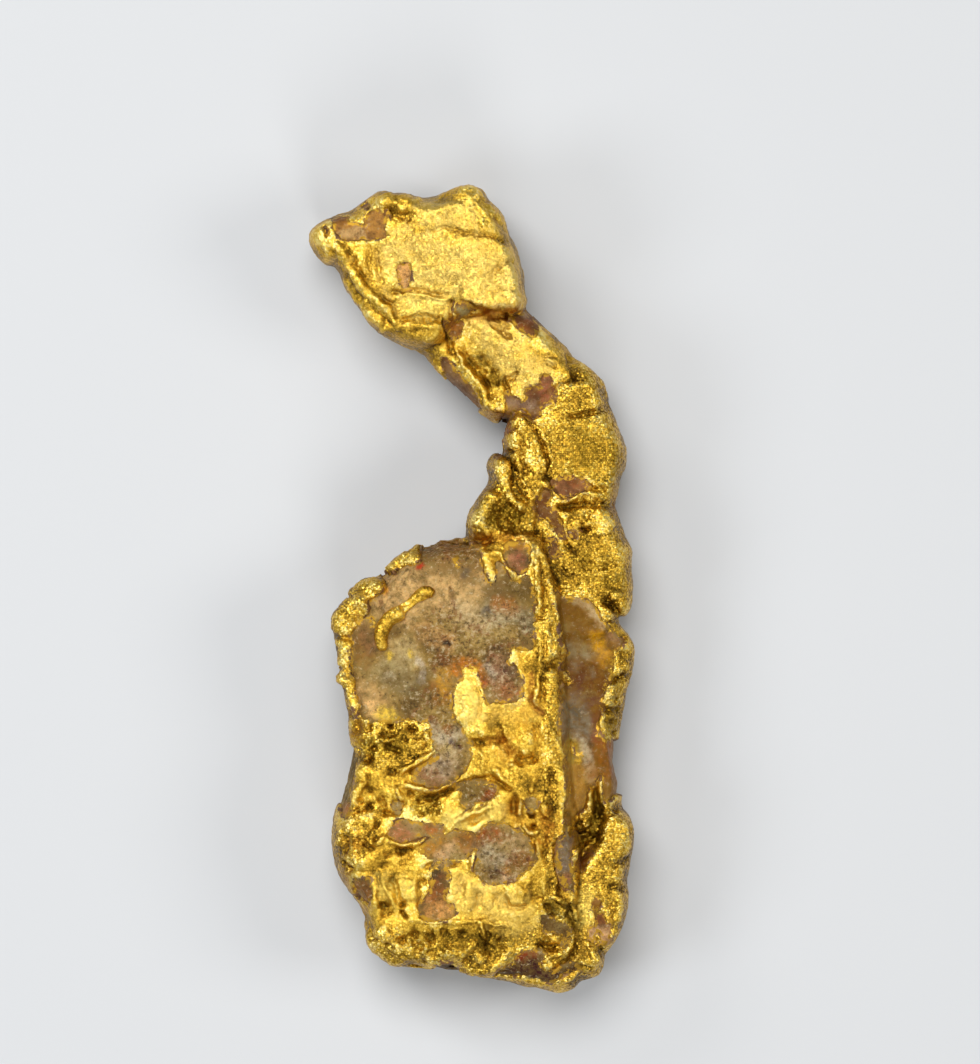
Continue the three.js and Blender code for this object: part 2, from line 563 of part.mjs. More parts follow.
// The lobes are opened over the quartz first, so that the strands and drops can then lie across it.
function gold() {
  const body = solid(lobe(BODY)).subtract(solid(QUARTZ_BLOCK.prism(SEAT_GAP)));
  const seamSide = solid(lobe(SEAM_SIDE)).subtract(solid(HONEY_FACE.prism(SEAT_GAP)));
  const lobes = [HEAD, NECK, COLUMN, UPPER_KNOB, LOWER_KNOB, HEEL].map((each) => lobe(each));
  const shallow = above(WAIST_LEVEL - SEAT_GAP);
  const openings = WINDOWS.map((window) => solid(window.prism(SEAT_GAP)).intersect(shallow));
  const wells = GRAINS.map(([, host, outline]) => well(host, outline));
  const opened = cut(joined([body, seamSide, ...lobes]), [...openings, ...wells]);

  const strands = [...VEIN_STRANDS, ...RIM_STRANDS, ...FOLD_STRANDS].map((path) => strand(path));
  const lumps = LUMPS.map(([at, size, turn]) => lump(at, size, turn));
  const pits = PITS.map(([at, size, turn]) => solid(lump(at, size, turn)));
  const grains = GRAINS.map(([, host, outline]) => grain(host, outline, SEAT_GAP));
  const seats = [milkyQuartz(SEAT_GAP), honeyQuartz(SEAT_GAP), ...grains];
  return largestBody(cut(joined([opened, ...strands, ...lumps]), [...pits, ...seats]).intersect(above(0)));
}

const GOLD = { color: 0xd9a326, roughness: 0.32, metalness: 1 };
const MILKY = { color: 0xa08c72, roughness: 0.55, metalness: 0 };
const HONEY = { color: 0xa07434, roughness: 0.35, metalness: 0 };
const ROSY = { color: 0x9a6e58, roughness: 0.5, metalness: 0 };

const nugget = new THREE.Group();
const nativeGold = gold();
nugget.add(piece("native_gold", nativeGold, GOLD));
nugget.add(piece("milky_quartz", largestBody(milkyQuartz(0).subtract(solid(lobe(SEAM_SIDE)))), MILKY));
nugget.add(piece("honey_quartz", largestBody(honeyQuartz(0)), HONEY));
for (const [name, host, outline] of GRAINS) {
  nugget.add(piece(name, largestBody(grain(host, outline, 0)), ROSY));
}
nugget.add(piece("gold_wire", hookedWire().subtract(milkyQuartz(SEAT_GAP)), GOLD));

const reach = new THREE.Box3().setFromObject(nugget);
const middle = reach.getCenter(new THREE.Vector3());
nugget.position.set(-middle.x, -middle.y, -reach.min.z);

export default nugget;
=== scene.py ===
"""A native gold nugget that grew through quartz, lying on its back: the finished surfaces and the studio.

The gold is one piece. The milky quartz, the honey quartz, the hooked wire and the small grains of quartz are
pieces of their own. The gold starts as pillow-shaped lobes over smooth outlines, melted together by a fine
remesh. The face is a grid of heights, worked by strokes (ropes, folds, creases, ledges, knobs, pits and
panels), opened by windows to the quartz and stained; the gold and the quartz are both shaped after it.
Lengths are in millimetres until a piece is finished, and then in metres.
"""

from __future__ import annotations

import logging
from dataclasses import dataclass
from enum import Enum

import bpy
import numpy as np
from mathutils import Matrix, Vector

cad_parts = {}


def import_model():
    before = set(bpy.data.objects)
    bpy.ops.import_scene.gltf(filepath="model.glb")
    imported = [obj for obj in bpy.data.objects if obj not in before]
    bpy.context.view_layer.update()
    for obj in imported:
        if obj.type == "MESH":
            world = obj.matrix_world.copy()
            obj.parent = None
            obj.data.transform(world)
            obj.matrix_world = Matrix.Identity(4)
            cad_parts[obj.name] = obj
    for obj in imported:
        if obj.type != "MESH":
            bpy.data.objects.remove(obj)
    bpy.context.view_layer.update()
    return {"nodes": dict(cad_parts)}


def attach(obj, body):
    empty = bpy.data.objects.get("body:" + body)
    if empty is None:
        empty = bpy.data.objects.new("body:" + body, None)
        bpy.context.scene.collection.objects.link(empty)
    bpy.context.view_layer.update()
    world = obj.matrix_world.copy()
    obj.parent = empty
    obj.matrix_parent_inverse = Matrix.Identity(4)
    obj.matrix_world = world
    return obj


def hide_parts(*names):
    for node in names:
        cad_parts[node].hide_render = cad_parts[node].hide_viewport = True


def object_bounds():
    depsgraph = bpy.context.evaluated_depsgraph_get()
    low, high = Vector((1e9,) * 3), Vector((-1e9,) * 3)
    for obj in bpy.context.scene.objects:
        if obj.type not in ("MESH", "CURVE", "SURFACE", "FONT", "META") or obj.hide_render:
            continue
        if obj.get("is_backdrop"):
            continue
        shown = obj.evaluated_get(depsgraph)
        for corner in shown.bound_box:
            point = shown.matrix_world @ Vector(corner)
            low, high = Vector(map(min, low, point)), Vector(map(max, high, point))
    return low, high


LOG = logging.getLogger("nugget")
Piece = bpy.types.Object
Finish = bpy.types.Material
Tree = bpy.types.NodeTree
Socket = bpy.types.NodeSocket
MILLIMETRE = 0.001
WAIST = 2.7  # height of the widest line round the nugget
SEED = 11
WHOLE_TURN = 2 * np.pi
QUARTZ_GLOSS = 0.034  # the white light that the quartz's gloss adds to its stains
NEVER_ZERO = 1e-9
# heights between which windows open in the gold, and stains are laid
WINDOWS_FROM = (0.8, 1.6)
STAINS_FROM = (1.5, 2.6)


# ------------ the sheet ------------


@dataclass(frozen=True)
class Sheet:
    """A drawing sheet laid over the nugget, on which places on its face are read.

    A step on the sheet is about 0.04 mm, x runs to the right and y runs down. The nugget fills the sheet from
    left to right and from top to foot, whatever its size.
    """

    low: tuple[float, float]
    high: tuple[float, float]
    left: float = 310.0
    right: float = 633.0
    top: float = 188.0
    foot: float = 992.0

    def place(self, points: list) -> np.ndarray:
        """Places of the sheet as millimetres: each axis is stretched to fit the nugget's box.

        Args:
            points: rows of x and y on the sheet; further columns are kept as they are.

        Returns:
            The same rows, with x and y in millimetres.
        """
        rows = np.array(points, dtype=float)
        across = (rows[:, 0] - self.left) / (self.right - self.left)
        down = (rows[:, 1] - self.top) / (self.foot - self.top)
        rows[:, 0] = self.low[0] + across * (self.high[0] - self.low[0])
        rows[:, 1] = self.high[1] - down * (self.high[1] - self.low[1])
        return rows


def smooth_path(points: np.ndarray, closed: bool, steps: int = 8) -> np.ndarray:
    """A Catmull-Rom curve through points: each stretch is a cubic whose ends lean along their neighbours.

    Args:
        points: the rows that the curve passes through; every column is carried along.
        closed: whether the last point joins the first.
        steps: the number of short straight steps between two points.

    Returns:
        The rows along the curve.
    """
    if closed:
        before, after, far = np.roll(points, 1, 0), np.roll(points, -1, 0), np.roll(points, -2, 0)
        start = points
    else:
        padded = np.vstack([2 * points[0] - points[1], points, 2 * points[-1] - points[-2]])
        before, start, after, far = padded[:-3], padded[1:-2], padded[2:-1], padded[3:]
    t = (np.arange(steps) / steps)[None, :, None]
    a, b, c, d = (rows[:, None, :] for rows in (before, start, after, far))
    curve = 0.5 * (
        2 * b + (c - a) * t + (2 * a - 5 * b + 4 * c - d) * t**2 + (3 * b - a - 3 * c + d) * t**3
    )
    curve = curve.reshape(-1, points.shape[1])
    return curve if closed else np.vstack([curve, points[-1]])


def nearest_on_path(path: np.ndarray, x: np.ndarray, y: np.ndarray) -> tuple:
    """How far points lie from a path of straight steps, where along it, and on which side.

    Args:
        path: the rows of x and y along the path.
        x: the points' x, of any shape.
        y: the points' y, of the same shape.

    Returns:
        The distance, the share of the path's length at the nearest place, and +1 on the left or -1 on the
        right of the path.
    """
    steps = np.diff(path[:, :2], axis=0)
    lengths = np.maximum(np.hypot(*steps.T), NEVER_ZERO)
    reached = np.concatenate([[0.0], np.cumsum(lengths)])
    best = np.full(x.shape, np.inf)
    share = np.zeros(x.shape)
    side = np.ones(x.shape)
    for (px, py), (dx, dy), length, start in zip(path[:, :2], steps, lengths, reached):
        along = np.clip(((x - px) * dx + (y - py) * dy) / length**2, 0, 1)
        away = np.hypot(x - px - along * dx, y - py - along * dy)
        closer = away < best
        best = np.where(closer, away, best)
        share = np.where(closer, (start + along * length) / reached[-1], share)
        side = np.where(closer, np.where(dx * (y - py) - dy * (x - px) >= 0, 1.0, -1.0), side)
    return best, share, side


def smooth_step(low: float, high: float, value: np.ndarray) -> np.ndarray:
    """Rises from 0 at low to 1 at high along 3t squared minus 2t cubed."""
    t = np.clip((value - low) / (high - low), 0, 1)
    return t * t * (3 - 2 * t)


# ------------ noise ------------


class GradientNoise:
    """Gradient noise: at each corner of a unit grid stands a random direction, and a point takes the smooth
    mean of its offsets from the corners along those directions."""

    def __init__(self, seed: int) -> None:
        """Fills the table of directions from the seed.

        Args:
            seed: the number that the directions follow from.
        """
        random = np.random.default_rng(seed)
        self.order = np.concatenate([random.permutation(256)] * 3)
        directions = random.normal(size=(256, 3))
        self.directions = directions / np.linalg.norm(directions, axis=1)[:, None]

    def at(self, points: np.ndarray, size: float) -> np.ndarray:
        """The noise at points, from about -1 to 1.

        Args:
            points: rows of x, y and z.
            size: the width of one swell, in the points' units.

        Returns:
            One value for each row.
        """
        scaled = points / size
        cell = np.floor(scaled).astype(int)
        offset = scaled - cell
        fade = offset**3 * (offset * (6 * offset - 15) + 10)
        total = np.zeros(len(points))
        for corner in np.ndindex(2, 2, 2):
            shift = np.array(corner)
            i, j, k = ((cell + shift) & 255).T
            direction = self.directions[self.order[self.order[self.order[i] + j] + k] & 255]
            share = np.prod(np.where(shift, fade, 1 - fade), axis=1)
            total += share * np.einsum("ij,ij->i", direction, offset - shift)
        return total * 1.6

    def layered(self, points: np.ndarray, size: float, layers: int) -> np.ndarray:
        """Layers of noise, each half as wide and half as strong as the one before."""
        return sum(self.at(points + 7.3 * n, size / 2**n) / 2**n for n in range(layers))

    def ridged(self, points: np.ndarray, size: float, layers: int) -> np.ndarray:
        """Layers of 1 minus 2.2 times the size of the noise: sharp crests between round hollows.

        Args:
            points: rows of x, y and z.
            size: the width of the largest swells.
            layers: how many layers are added.

        Returns:
            One value for each row.
        """
        return sum(
            (1 - 2.2 * np.abs(self.at(points + 3.1 * n, size / 2**n))) / 2**n for n in range(layers)
        )


@dataclass(frozen=True)
class Swell:
    """Rough ground: the height and width of its largest swells, in millimetres, and its layers of detail."""

    height: float
    width: float
    layers: int
    shift: float = 0.0  # moves the swells, so that two of them differ
    ridged: bool = False

    def over(self, noise: GradientNoise, rows: np.ndarray) -> np.ndarray:
        """The height of the swells at points."""
        kind = noise.ridged if self.ridged else noise.layered
        return self.height * kind(rows + self.shift, self.width, self.layers)


def rough_ground(noise: GradientNoise, rows: np.ndarray, *swells: Swell) -> np.ndarray:
    """The height of rough ground at points, all its swells together."""
    return sum(swell.over(noise, rows) for swell in swells)


# ------------ lobes ------------


@dataclass(frozen=True)
class Surface:
    """Vertices, one row each, and quads or triangles as rows of vertex numbers."""

    vertices: np.ndarray
    faces: np.ndarray


def closed_rings(rings: np.ndarray) -> Surface:
    """A closed skin over rings of points: quads between rings, and a fan to a point in each end ring.

    Args:
        rings: an array of rings, places round a ring, and x, y, z.

    Returns:
        The closed surface; the end fans are quads with a doubled corner.
    """
    count, around = rings.shape[:2]
    first, last = rings[0].mean(axis=0), rings[-1].mean(axis=0)
    vertices = np.vstack([rings.reshape(-1, 3), first, last])
    row = np.arange(count - 1)[:, None] * around
    here, there = np.arange(around)[None, :], (np.arange(around)[None, :] + 1) % around
    sides = np.stack([row + here, row + there, row + around + there, row + around + here], -1)
    pole, foot = count * around, count * around + 1
    start = np.stack([np.full(around, pole), there[0], here[0], np.full(around, pole)], -1)
    tail = (count - 1) * around
    end = np.stack([np.full(around, foot), tail + here[0], tail + there[0], np.full(around, foot)], -1)
    return Surface(vertices, np.vstack([sides.reshape(-1, 4), start, end]))


@dataclass(frozen=True)
class Lobe:
    """A pillow-shaped lobe over a smooth outline, rounded down to the waist within edge of its outline.

    Levels are the known heights of its front, each as x, y and height, and back is the height of its back.
    """

    outline: list
    levels: list
    back: float
    edge: float
    spread: float = 1.6  # how far a known height reaches
    back_reach: float = 2.3  # how much more broadly the back is rounded
    rows: int = 110
    around: int = 150
    sideways: bool = False  # ringed down its width, for an outline that is notched along its length

    def rings(self, sheet: Sheet, inset: float = 0.0) -> np.ndarray:
        """The lobe as rings across its length, or down its width if it stands sideways.

        A point at angle a round a ring lies at the ring's middle plus its half width times cos a. Its face,
        the front where sin a is above 0 and else the back, is drawn towards the waist by the square root of
        1 minus (1 - depth / reach) squared, where depth is its distance inside the outline. The front's
        height is the mean of the known levels, each weighted by the exponential of minus its squared
        distance.

        Args:
            sheet: the drawing sheet.
            inset: how far the whole lobe is drawn inwards.

        Returns:
            An array of rings, places round a ring, and x, y, z.
        """
        edge = smooth_path(sheet.place(self.outline), closed=True)
        edge = edge[:, ::-1] if self.sideways else edge
        top, foot = edge[:, 1].max() - inset, edge[:, 1].min() + inset
        polar = np.cos(np.linspace(0, np.pi, self.rows + 2)[1:-1])
        y = (top + foot) / 2 + (top - foot) / 2 * polar
        ends = np.roll(edge, -1, axis=0)
        rise = np.where(ends[:, 1] == edge[:, 1], NEVER_ZERO, ends[:, 1] - edge[:, 1])
        crossed = (edge[:, 1] > y[:, None]) != (ends[:, 1] > y[:, None])
        at = edge[:, 0] + (y[:, None] - edge[:, 1]) / rise * (ends[:, 0] - edge[:, 0])
        left = np.where(crossed, at, np.inf).min(axis=1)[:, None]
        right = np.where(crossed, at, -np.inf).max(axis=1)[:, None]
        angle = np.linspace(0, WHOLE_TURN, self.around, endpoint=False)[None, :]
        x = (left + right) / 2 + np.maximum((right - left) / 2 - inset, 0.0) * np.cos(angle)
        y = np.broadcast_to(y[:, None], x.shape)
        away, _, _ = nearest_on_path(np.vstack([edge, edge[:1]]), x, y)
        depth = np.maximum(away - inset, 0.0)
        if self.sideways:
            x, y = y, x
        reach = self.reach(x, y) * np.where(np.sin(angle) > 0, 1.0, self.back_reach)
        rounding = np.sqrt(1 - (1 - np.minimum(depth / reach, 1)) ** 2)
        front = self.height(sheet, x, y) - inset
        face = np.where(np.sin(angle) > 0, front, self.back + inset)
        z = WAIST + (face - WAIST) * rounding
        rings = np.stack([x, y, z], -1)
        return rings[:, ::-1] if self.sideways else rings

    def reach(self, x: np.ndarray, y: np.ndarray) -> np.ndarray:
        """How broadly the front's edge is rounded at x and y: it sways by a quarter, in waves of a few mm."""
        return self.edge * (1 + 0.25 * np.sin(2.1 * x + 0.7 * y) * np.sin(1.7 * y - 0.4 * x))

    def height(self, sheet: Sheet, x: np.ndarray, y: np.ndarray) -> np.ndarray:
        """The height of the front at x and y: the mean of the levels, weighted by nearness.

        Args:
            sheet: the drawing sheet.
            x: the points' x.
            y: the points' y.

        Returns:
            One height for each point.
        """
        levels = sheet.place(self.levels)
        squared = (x[..., None] - levels[:, 0]) ** 2 + (y[..., None] - levels[:, 1]) ** 2
        weight = np.exp(-squared / (2 * self.spread**2)) + NEVER_ZERO
        return (weight * levels[:, 2]).sum(-1) / weight.sum(-1)

    def surface(self, sheet: Sheet, inset: float = 0.0) -> Surface:
        """The lobe as a closed surface."""
        return closed_rings(self.rings(sheet, inset))


# ------------ the face ------------


class Mark(Enum):
    """The kinds of mark in the face's relief."""

    ROPE = "rope"  # a rounded ridge that thickens and thins
    FOLD = "fold"  # a soft swell
    CREASE = "crease"  # a narrow furrow
    LEDGE = "ledge"  # a step: the left of the path stands higher
    KNOB = "knob"  # a rounded lump at each point
    PIT = "pit"  # a hollow at each point
    PANEL = "panel"  # a plateau inside a closed outline


@dataclass(frozen=True)
class Stroke:
    """One mark: its half width and its height or depth in millimetres, and its path on the sheet."""

    mark: Mark
    width: float
    height: float
    path: list


@dataclass(frozen=True)
class Stain:
    """A soft patch of colour along a path on the sheet: its radius in millimetres and how much it covers."""

    code: str
    radius: float
    cover: float
    path: list


@dataclass
class Face:
    """The nugget's face on a fine square grid: heights, relief, quartz windows, grain, and stains, which
    on the gold include painted highlights and painted shade.
    """

    sheet: Sheet
    noise: GradientNoise
    pitch: float = 0.04

    def __post_init__(self) -> None:
        """Lays out the grid, flat, clean and all of smooth gold."""
        low, high = self.sheet.low, self.sheet.high
        self.x = np.arange(low[0] - 0.5, high[0] + 0.5, self.pitch)
        self.y = np.arange(low[1] - 0.5, high[1] + 0.5, self.pitch)
        shape = (len(self.y), len(self.x))
        x, y = np.meshgrid(self.x, self.y)
        places = np.stack([x.ravel(), y.ravel(), np.zeros(x.size)], -1)
        self.sway = self.noise.layered(places, 0.7, 2).reshape(shape)
        self.fray = self.noise.layered(places + 9, 0.26, 2).reshape(shape)
        self.level = np.full(shape, WAIST)
        self.gold = np.zeros(shape)
        self.quartz = np.zeros(shape)
        self.window = np.full(shape, -1.0)
        self.grain = np.zeros(shape)
        self.pits = np.zeros(shape)
        self.gold_coat = np.zeros((*shape, 4))
        self.quartz_coat = np.zeros((*shape, 4))

    def near(self, path: np.ndarray, reach: float) -> tuple:
        """The part of the grid within reach of a path.

        Args:
            path: rows that start with x and y.
            reach: the distance, in millimetres.

        Returns:
            The slices of the grid, and its points' x and y there.
        """
        low, high = path[:, :2].min(0) - reach, path[:, :2].max(0) + reach
        columns = slice(*np.searchsorted(self.x, [low[0], high[0]]))
        rows = slice(*np.searchsorted(self.y, [low[1], high[1]]))
        x, y = np.meshgrid(self.x[columns], self.y[rows])
        return (rows, columns), x, y

    def curve(self, points: list) -> np.ndarray:
        """A smooth path through places on the sheet; one place becomes a path too short to see."""
        rows = self.sheet.place(points)
        return smooth_path(rows, closed=False) if len(rows) > 1 else np.vstack([rows, rows + [0.005, 0]])

    def inside(self, outline: list, reach: float) -> tuple:
        """How far the grid's points lie inside a closed outline; outside it the distance is negative.

        Args:
            outline: the outline's points on the sheet.
            reach: how far round the outline the grid is looked at, in millimetres.

        Returns:
            The slices of the grid, and the distances in them.
        """
        path = smooth_path(self.sheet.place(outline), closed=True, steps=5)
        cells, x, y = self.near(path, reach)
        loop = np.vstack([path, path[:1]])
        away, _, _ = nearest_on_path(loop, x, y)
        crossings = np.zeros(x.shape)
        for (px, py), (qx, qy) in zip(loop[:-1, :2], loop[1:, :2]):
            rise = qy - py if qy != py else NEVER_ZERO
            crossings += ((py > y) != (qy > y)) & (x < px + (y - py) / rise * (qx - px))
        return cells, np.where(crossings % 2 == 1, away, -away)

    def raise_lobe(self, lobe: Lobe) -> None:
        """Lifts the grid to a lobe's front, rounded down to the waist within the lobe's edge.

        Args:
            lobe: the lobe.
        """
        cells, depth = self.inside(lobe.outline, 0.1)
        x, y = np.meshgrid(self.x[cells[1]], self.y[cells[0]])
        rounding = np.sqrt(1 - (1 - np.clip(depth / lobe.reach(x, y), 0, 1)) ** 2)
        front = WAIST + (lobe.height(self.sheet, x, y) - WAIST) * rounding
        self.level[cells] = np.maximum(self.level[cells], front)

    def press(self, field: np.ndarray, stroke: Stroke) -> None:
        """Presses one stroke into a field of heights.

        Away is the distance from the path and t is away over the width. A rope adds (1 - t squared) to the
        power 0.7, and its width and height sway by a third. A fold adds, and a crease takes, a bell curve
        of t. A ledge adds a step that dies away on its left. A knob adds the root of (1 - t squared), and a
        pit takes the exponential of minus t to the fourth, round each point. A panel adds its height inside
        its outline and is rounded over its width. Ropes, creases and ledges taper at their ends.

        Args:
            field: the grid of heights, changed in place.
            stroke: the mark to press.
        """
        width, height = stroke.width, stroke.height
        if stroke.mark is Mark.PANEL:
            cells, depth = self.inside(stroke.path, 4 * width)
            depth = depth + 0.05 * self.fray[cells] + 0.04 * self.sway[cells]
            field[cells] += height * smooth_step(-width, width, depth)
            return
        if stroke.mark in (Mark.KNOB, Mark.PIT):
            for point in self.sheet.place(stroke.path):
                cells, x, y = self.near(point[None, :], 2 * width + 0.1)
                away = np.hypot(x - point[0], y - point[1]) * (1 + 0.3 * self.fray[cells])
                if stroke.mark is Mark.KNOB:
                    field[cells] += height * np.sqrt(np.clip(1 - (away / width) ** 2, 0, 1))
                else:
                    field[cells] -= height * np.exp(-((away / width) ** 4))
            return
        path = self.curve(stroke.path)
        cells, x, y = self.near(path, 4 * width + 0.3)
        away, share, side = nearest_on_path(path, x, y)
        sway, fray = self.sway[cells], self.fray[cells]
        fade = smooth_step(0, 1, np.minimum(share, 1 - share) / 0.16)
        t = away / (width * (1 + 0.3 * sway))
        if stroke.mark is Mark.ROPE:
            field[cells] += height * (1 + 0.35 * fray) * np.clip(1 - t**2, 0, 1) ** 0.7 * (0.25 + 0.75 * fade)
        elif stroke.mark is Mark.FOLD:
            field[cells] += height * np.exp(-(t**2))
        elif stroke.mark is Mark.CREASE:
            field[cells] -= height * (1 + 0.4 * fray) * np.exp(-(t**2)) * (0.2 + 0.8 * fade)
        else:
            across = away * side + 0.04 * fray
            step = smooth_step(-0.05, 0.09, across) * np.exp(-np.maximum(across, 0) / width)
            field[cells] += height * step * fade

    def open_window(self, outline: list) -> None:
        """Opens the gold over an outline: the window's value is the distance inside it, negative outside."""
        cells, depth = self.inside(outline, 1.0)
        self.window[cells] = np.maximum(self.window[cells], depth)

    def close_window(self, outline: list) -> None:
        """Lays gold over an outline, whatever windows are open there."""
        cells, depth = self.inside(outline, 0.3)
        self.window[cells] = np.minimum(self.window[cells], -depth)

    def roughen(self, field: np.ndarray, outline: list, amount: float) -> None:
        """Raises a field to an amount inside an outline, fading in over half a millimetre.

        Args:
            field: the grid of numbers, changed in place.
            outline: the outline's points on the sheet.
            amount: the number that the field has inside.
        """
        cells, depth = self.inside(outline, 0.5)
        inner = amount * smooth_step(-0.2, 0.3, depth + 0.2 * self.sway[cells])
        field[cells] = np.maximum(field[cells], inner)

    def stain(self, coat: np.ndarray, stain: Stain, gloss: float = 0.0) -> None:
        """Lays a stain over a coat: its cover is a bell curve of the distance, frayed at its edge.

        Args:
            coat: the grid of colours and covers, changed in place.
            stain: the stain to lay.
            gloss: the white light that the surface's gloss adds, taken off the stain's own colour.
        """
        path = self.curve(stain.path)
        cells, x, y = self.near(path, 2.2 * stain.radius)
        away, _, _ = nearest_on_path(path, x, y)
        away = away * (1 + 0.35 * self.sway[cells] + 0.35 * self.fray[cells])
        cover = (stain.cover * np.exp(-((away / stain.radius) ** 4)))[..., None]
        body = np.maximum(linear(stain.code) - gloss, 0.003)
        coat[cells][..., :3] += cover * (body - coat[cells][..., :3])
        under = coat[cells][..., 3:]
        coat[cells][..., 3:] = under + (1 - under) * cover

    def sample(self, field: np.ndarray, rows: np.ndarray) -> np.ndarray:
        """Values of a field over places, by straight lines between the grid's points.

        Args:
            field: the grid of numbers or of colours.
            rows: the places; only x and y are read.

        Returns:
            One value or colour for each row.
        """
        column = np.clip((rows[:, 0] - self.x[0]) / self.pitch, 0, len(self.x) - 1.001)
        row = np.clip((rows[:, 1] - self.y[0]) / self.pitch, 0, len(self.y) - 1.001)
        i, j = row.astype(int), column.astype(int)
        u, v = row - i, column - j
        if field.ndim == 3:
            u, v = u[:, None], v[:, None]
        upper = field[i, j] * (1 - v) + field[i, j + 1] * v
        lower = field[i + 1, j] * (1 - v) + field[i + 1, j + 1] * v
        return upper * (1 - u) + lower * u

    def warped(self, rows: np.ndarray) -> np.ndarray:
        """The rows, shifted a little by noise, so that what is read off the face has frayed edges.

        Args:
            rows: places in x, y and z.

        Returns:
            The shifted rows.
        """
        swells = (Swell(0.05, 0.8, 2), Swell(0.07, 0.34, 3))
        shift = [rough_ground(self.noise, rows + n, *swells) for n in (0, 31)]
        return rows + np.stack([*shift, np.zeros(len(rows))], -1)

    def slab(self, outlines: list, lift: float, thickness: float) -> Surface:
        """A slab of quartz under windows: the grid's squares inside the outlines, from a little below the
        face down to its thickness below that, with upright walls.

        Args:
            outlines: the windows' outlines on the sheet.
            lift: how far the top lies above the face, in millimetres; below it is negative.
            thickness: from the slab's top to its bottom.

        Returns:
            The closed surface.
        """
        held = np.zeros(self.level.shape, bool)
        for outline in outlines:
            cells, depth = self.inside(outline, 0.4)
            held[cells] |= (depth > -0.2) & (self.level[cells] > WAIST + 0.1)
        held &= np.roll(held, 1, 0) | np.roll(held, -1, 0)
        held &= np.roll(held, 1, 1) | np.roll(held, -1, 1)
        i, j = np.nonzero(held)
        wide = len(self.x)
        corner = i * wide + j
        top = np.stack([corner, corner + 1, corner + wide + 1, corner + wide], -1)
        size = self.level.size
        faces = [top, top[:, ::-1] + size]
        for step, (a, b) in (((-1, 0), (0, 1)), ((0, 1), (1, 2)), ((1, 0), (2, 3)), ((0, -1), (3, 0))):
            bare = ~held[i + step[0], j + step[1]]
            near, far = top[bare, a], top[bare, b]
            faces.append(np.stack([far, near, near + size, far + size], -1))
        faces = np.vstack(faces)
        used, faces = np.unique(faces, return_inverse=True)
        flat = used % size
        x, y = self.x[flat % wide], self.y[flat // wide]
        places = np.stack([x, y, np.zeros(len(x))], -1)
        z = self.level.ravel()[flat] + lift + self.quartz.ravel()[flat]
        z += rough_ground(self.noise, places, Swell(0.05, 0.6, 3))
        return Surface(np.stack([x, y, z - np.where(used >= size, thickness, 0.0)], -1), faces.reshape(-1, 4))


# ------------ mesh work ------------


def mesh_of(name: str, surface: Surface) -> Piece:
    """An object with the surface as its mesh; a quad with a doubled corner becomes a triangle.

    Args:
        name: the object's name.
        surface: its vertices and faces.

    Returns:
        The object, linked to the scene.
    """
    quads = surface.faces
    double = quads[:, 0] == quads[:, 3] if quads.shape[1] == 4 else np.zeros(len(quads), bool)
    sizes = np.where(double, 3, quads.shape[1])
    corners = np.concatenate([quads[~double].ravel(), quads[double][:, :3].ravel()])
    sizes = np.concatenate([sizes[~double], sizes[double]])
    mesh = bpy.data.meshes.new(name)
    mesh.vertices.add(len(surface.vertices))
    mesh.vertices.foreach_set("co", surface.vertices.astype(np.float32).ravel())
    mesh.loops.add(len(corners))
    mesh.loops.foreach_set("vertex_index", corners.astype(np.int32))
    mesh.polygons.add(len(sizes))
    mesh.polygons.foreach_set("loop_start", np.concatenate([[0], np.cumsum(sizes)[:-1]]).astype(np.int32))
    mesh.polygons.foreach_set("loop_total", sizes.astype(np.int32))
    mesh.update(calc_edges=True)
    mesh.validate()
    made = bpy.data.objects.new(name, mesh)
    bpy.context.scene.collection.objects.link(made)
    return made


def joined(surfaces: list[Surface]) -> Surface:
    """Several surfaces as one.

    Args:
        surfaces: the surfaces, which may overlap.

    Returns:
        One surface with the vertices and faces of them all.
    """
    starts = np.cumsum([0] + [len(each.vertices) for each in surfaces[:-1]])
    return Surface(
        np.vstack([each.vertices for each in surfaces]),
        np.vstack([each.faces + start for each, start in zip(surfaces, starts)]),
    )


def with_modifier(made: Piece, kind: str, **settings: object) -> None:
    """Puts a modifier on an object and replaces the object's mesh by the result.

    Args:
        made: the object.
        kind: the modifier's type.
        settings: its settings.
    """
    modifier = made.modifiers.new(kind.lower(), kind)
    for key, value in settings.items():
        setattr(modifier, key, value)
    graph = bpy.context.evaluated_depsgraph_get()
    result = bpy.data.meshes.new_from_object(made.evaluated_get(graph))
    made.modifiers.clear()
    old = made.data
    made.data = result
    bpy.data.meshes.remove(old)


def rows_of(layer: bpy.types.bpy_prop_collection, name: str) -> np.ndarray:
    """The rows of three numbers that a mesh's layer holds under a name.

    Args:
        layer: the layer, such as a mesh's vertices.
        name: the name of what is read.

    Returns:
        One row for each item of the layer.
    """
    flat = np.empty(len(layer) * 3, dtype=np.float32)
    layer.foreach_get(name, flat)
    return flat.reshape(-1, 3).astype(float)


def positions(made: Piece) -> np.ndarray:
    """The rows of an object's vertices."""
    return rows_of(made.data.vertices, "co")


def place(made: Piece, rows: np.ndarray) -> None:
    """Moves an object's vertices to the given rows."""
    made.data.vertices.foreach_set("co", rows.astype(np.float32).ravel())
    made.data.update()


def normals(made: Piece) -> np.ndarray:
    """The rows of an object's vertex normals."""
    return rows_of(made.data.vertex_normals, "vector")


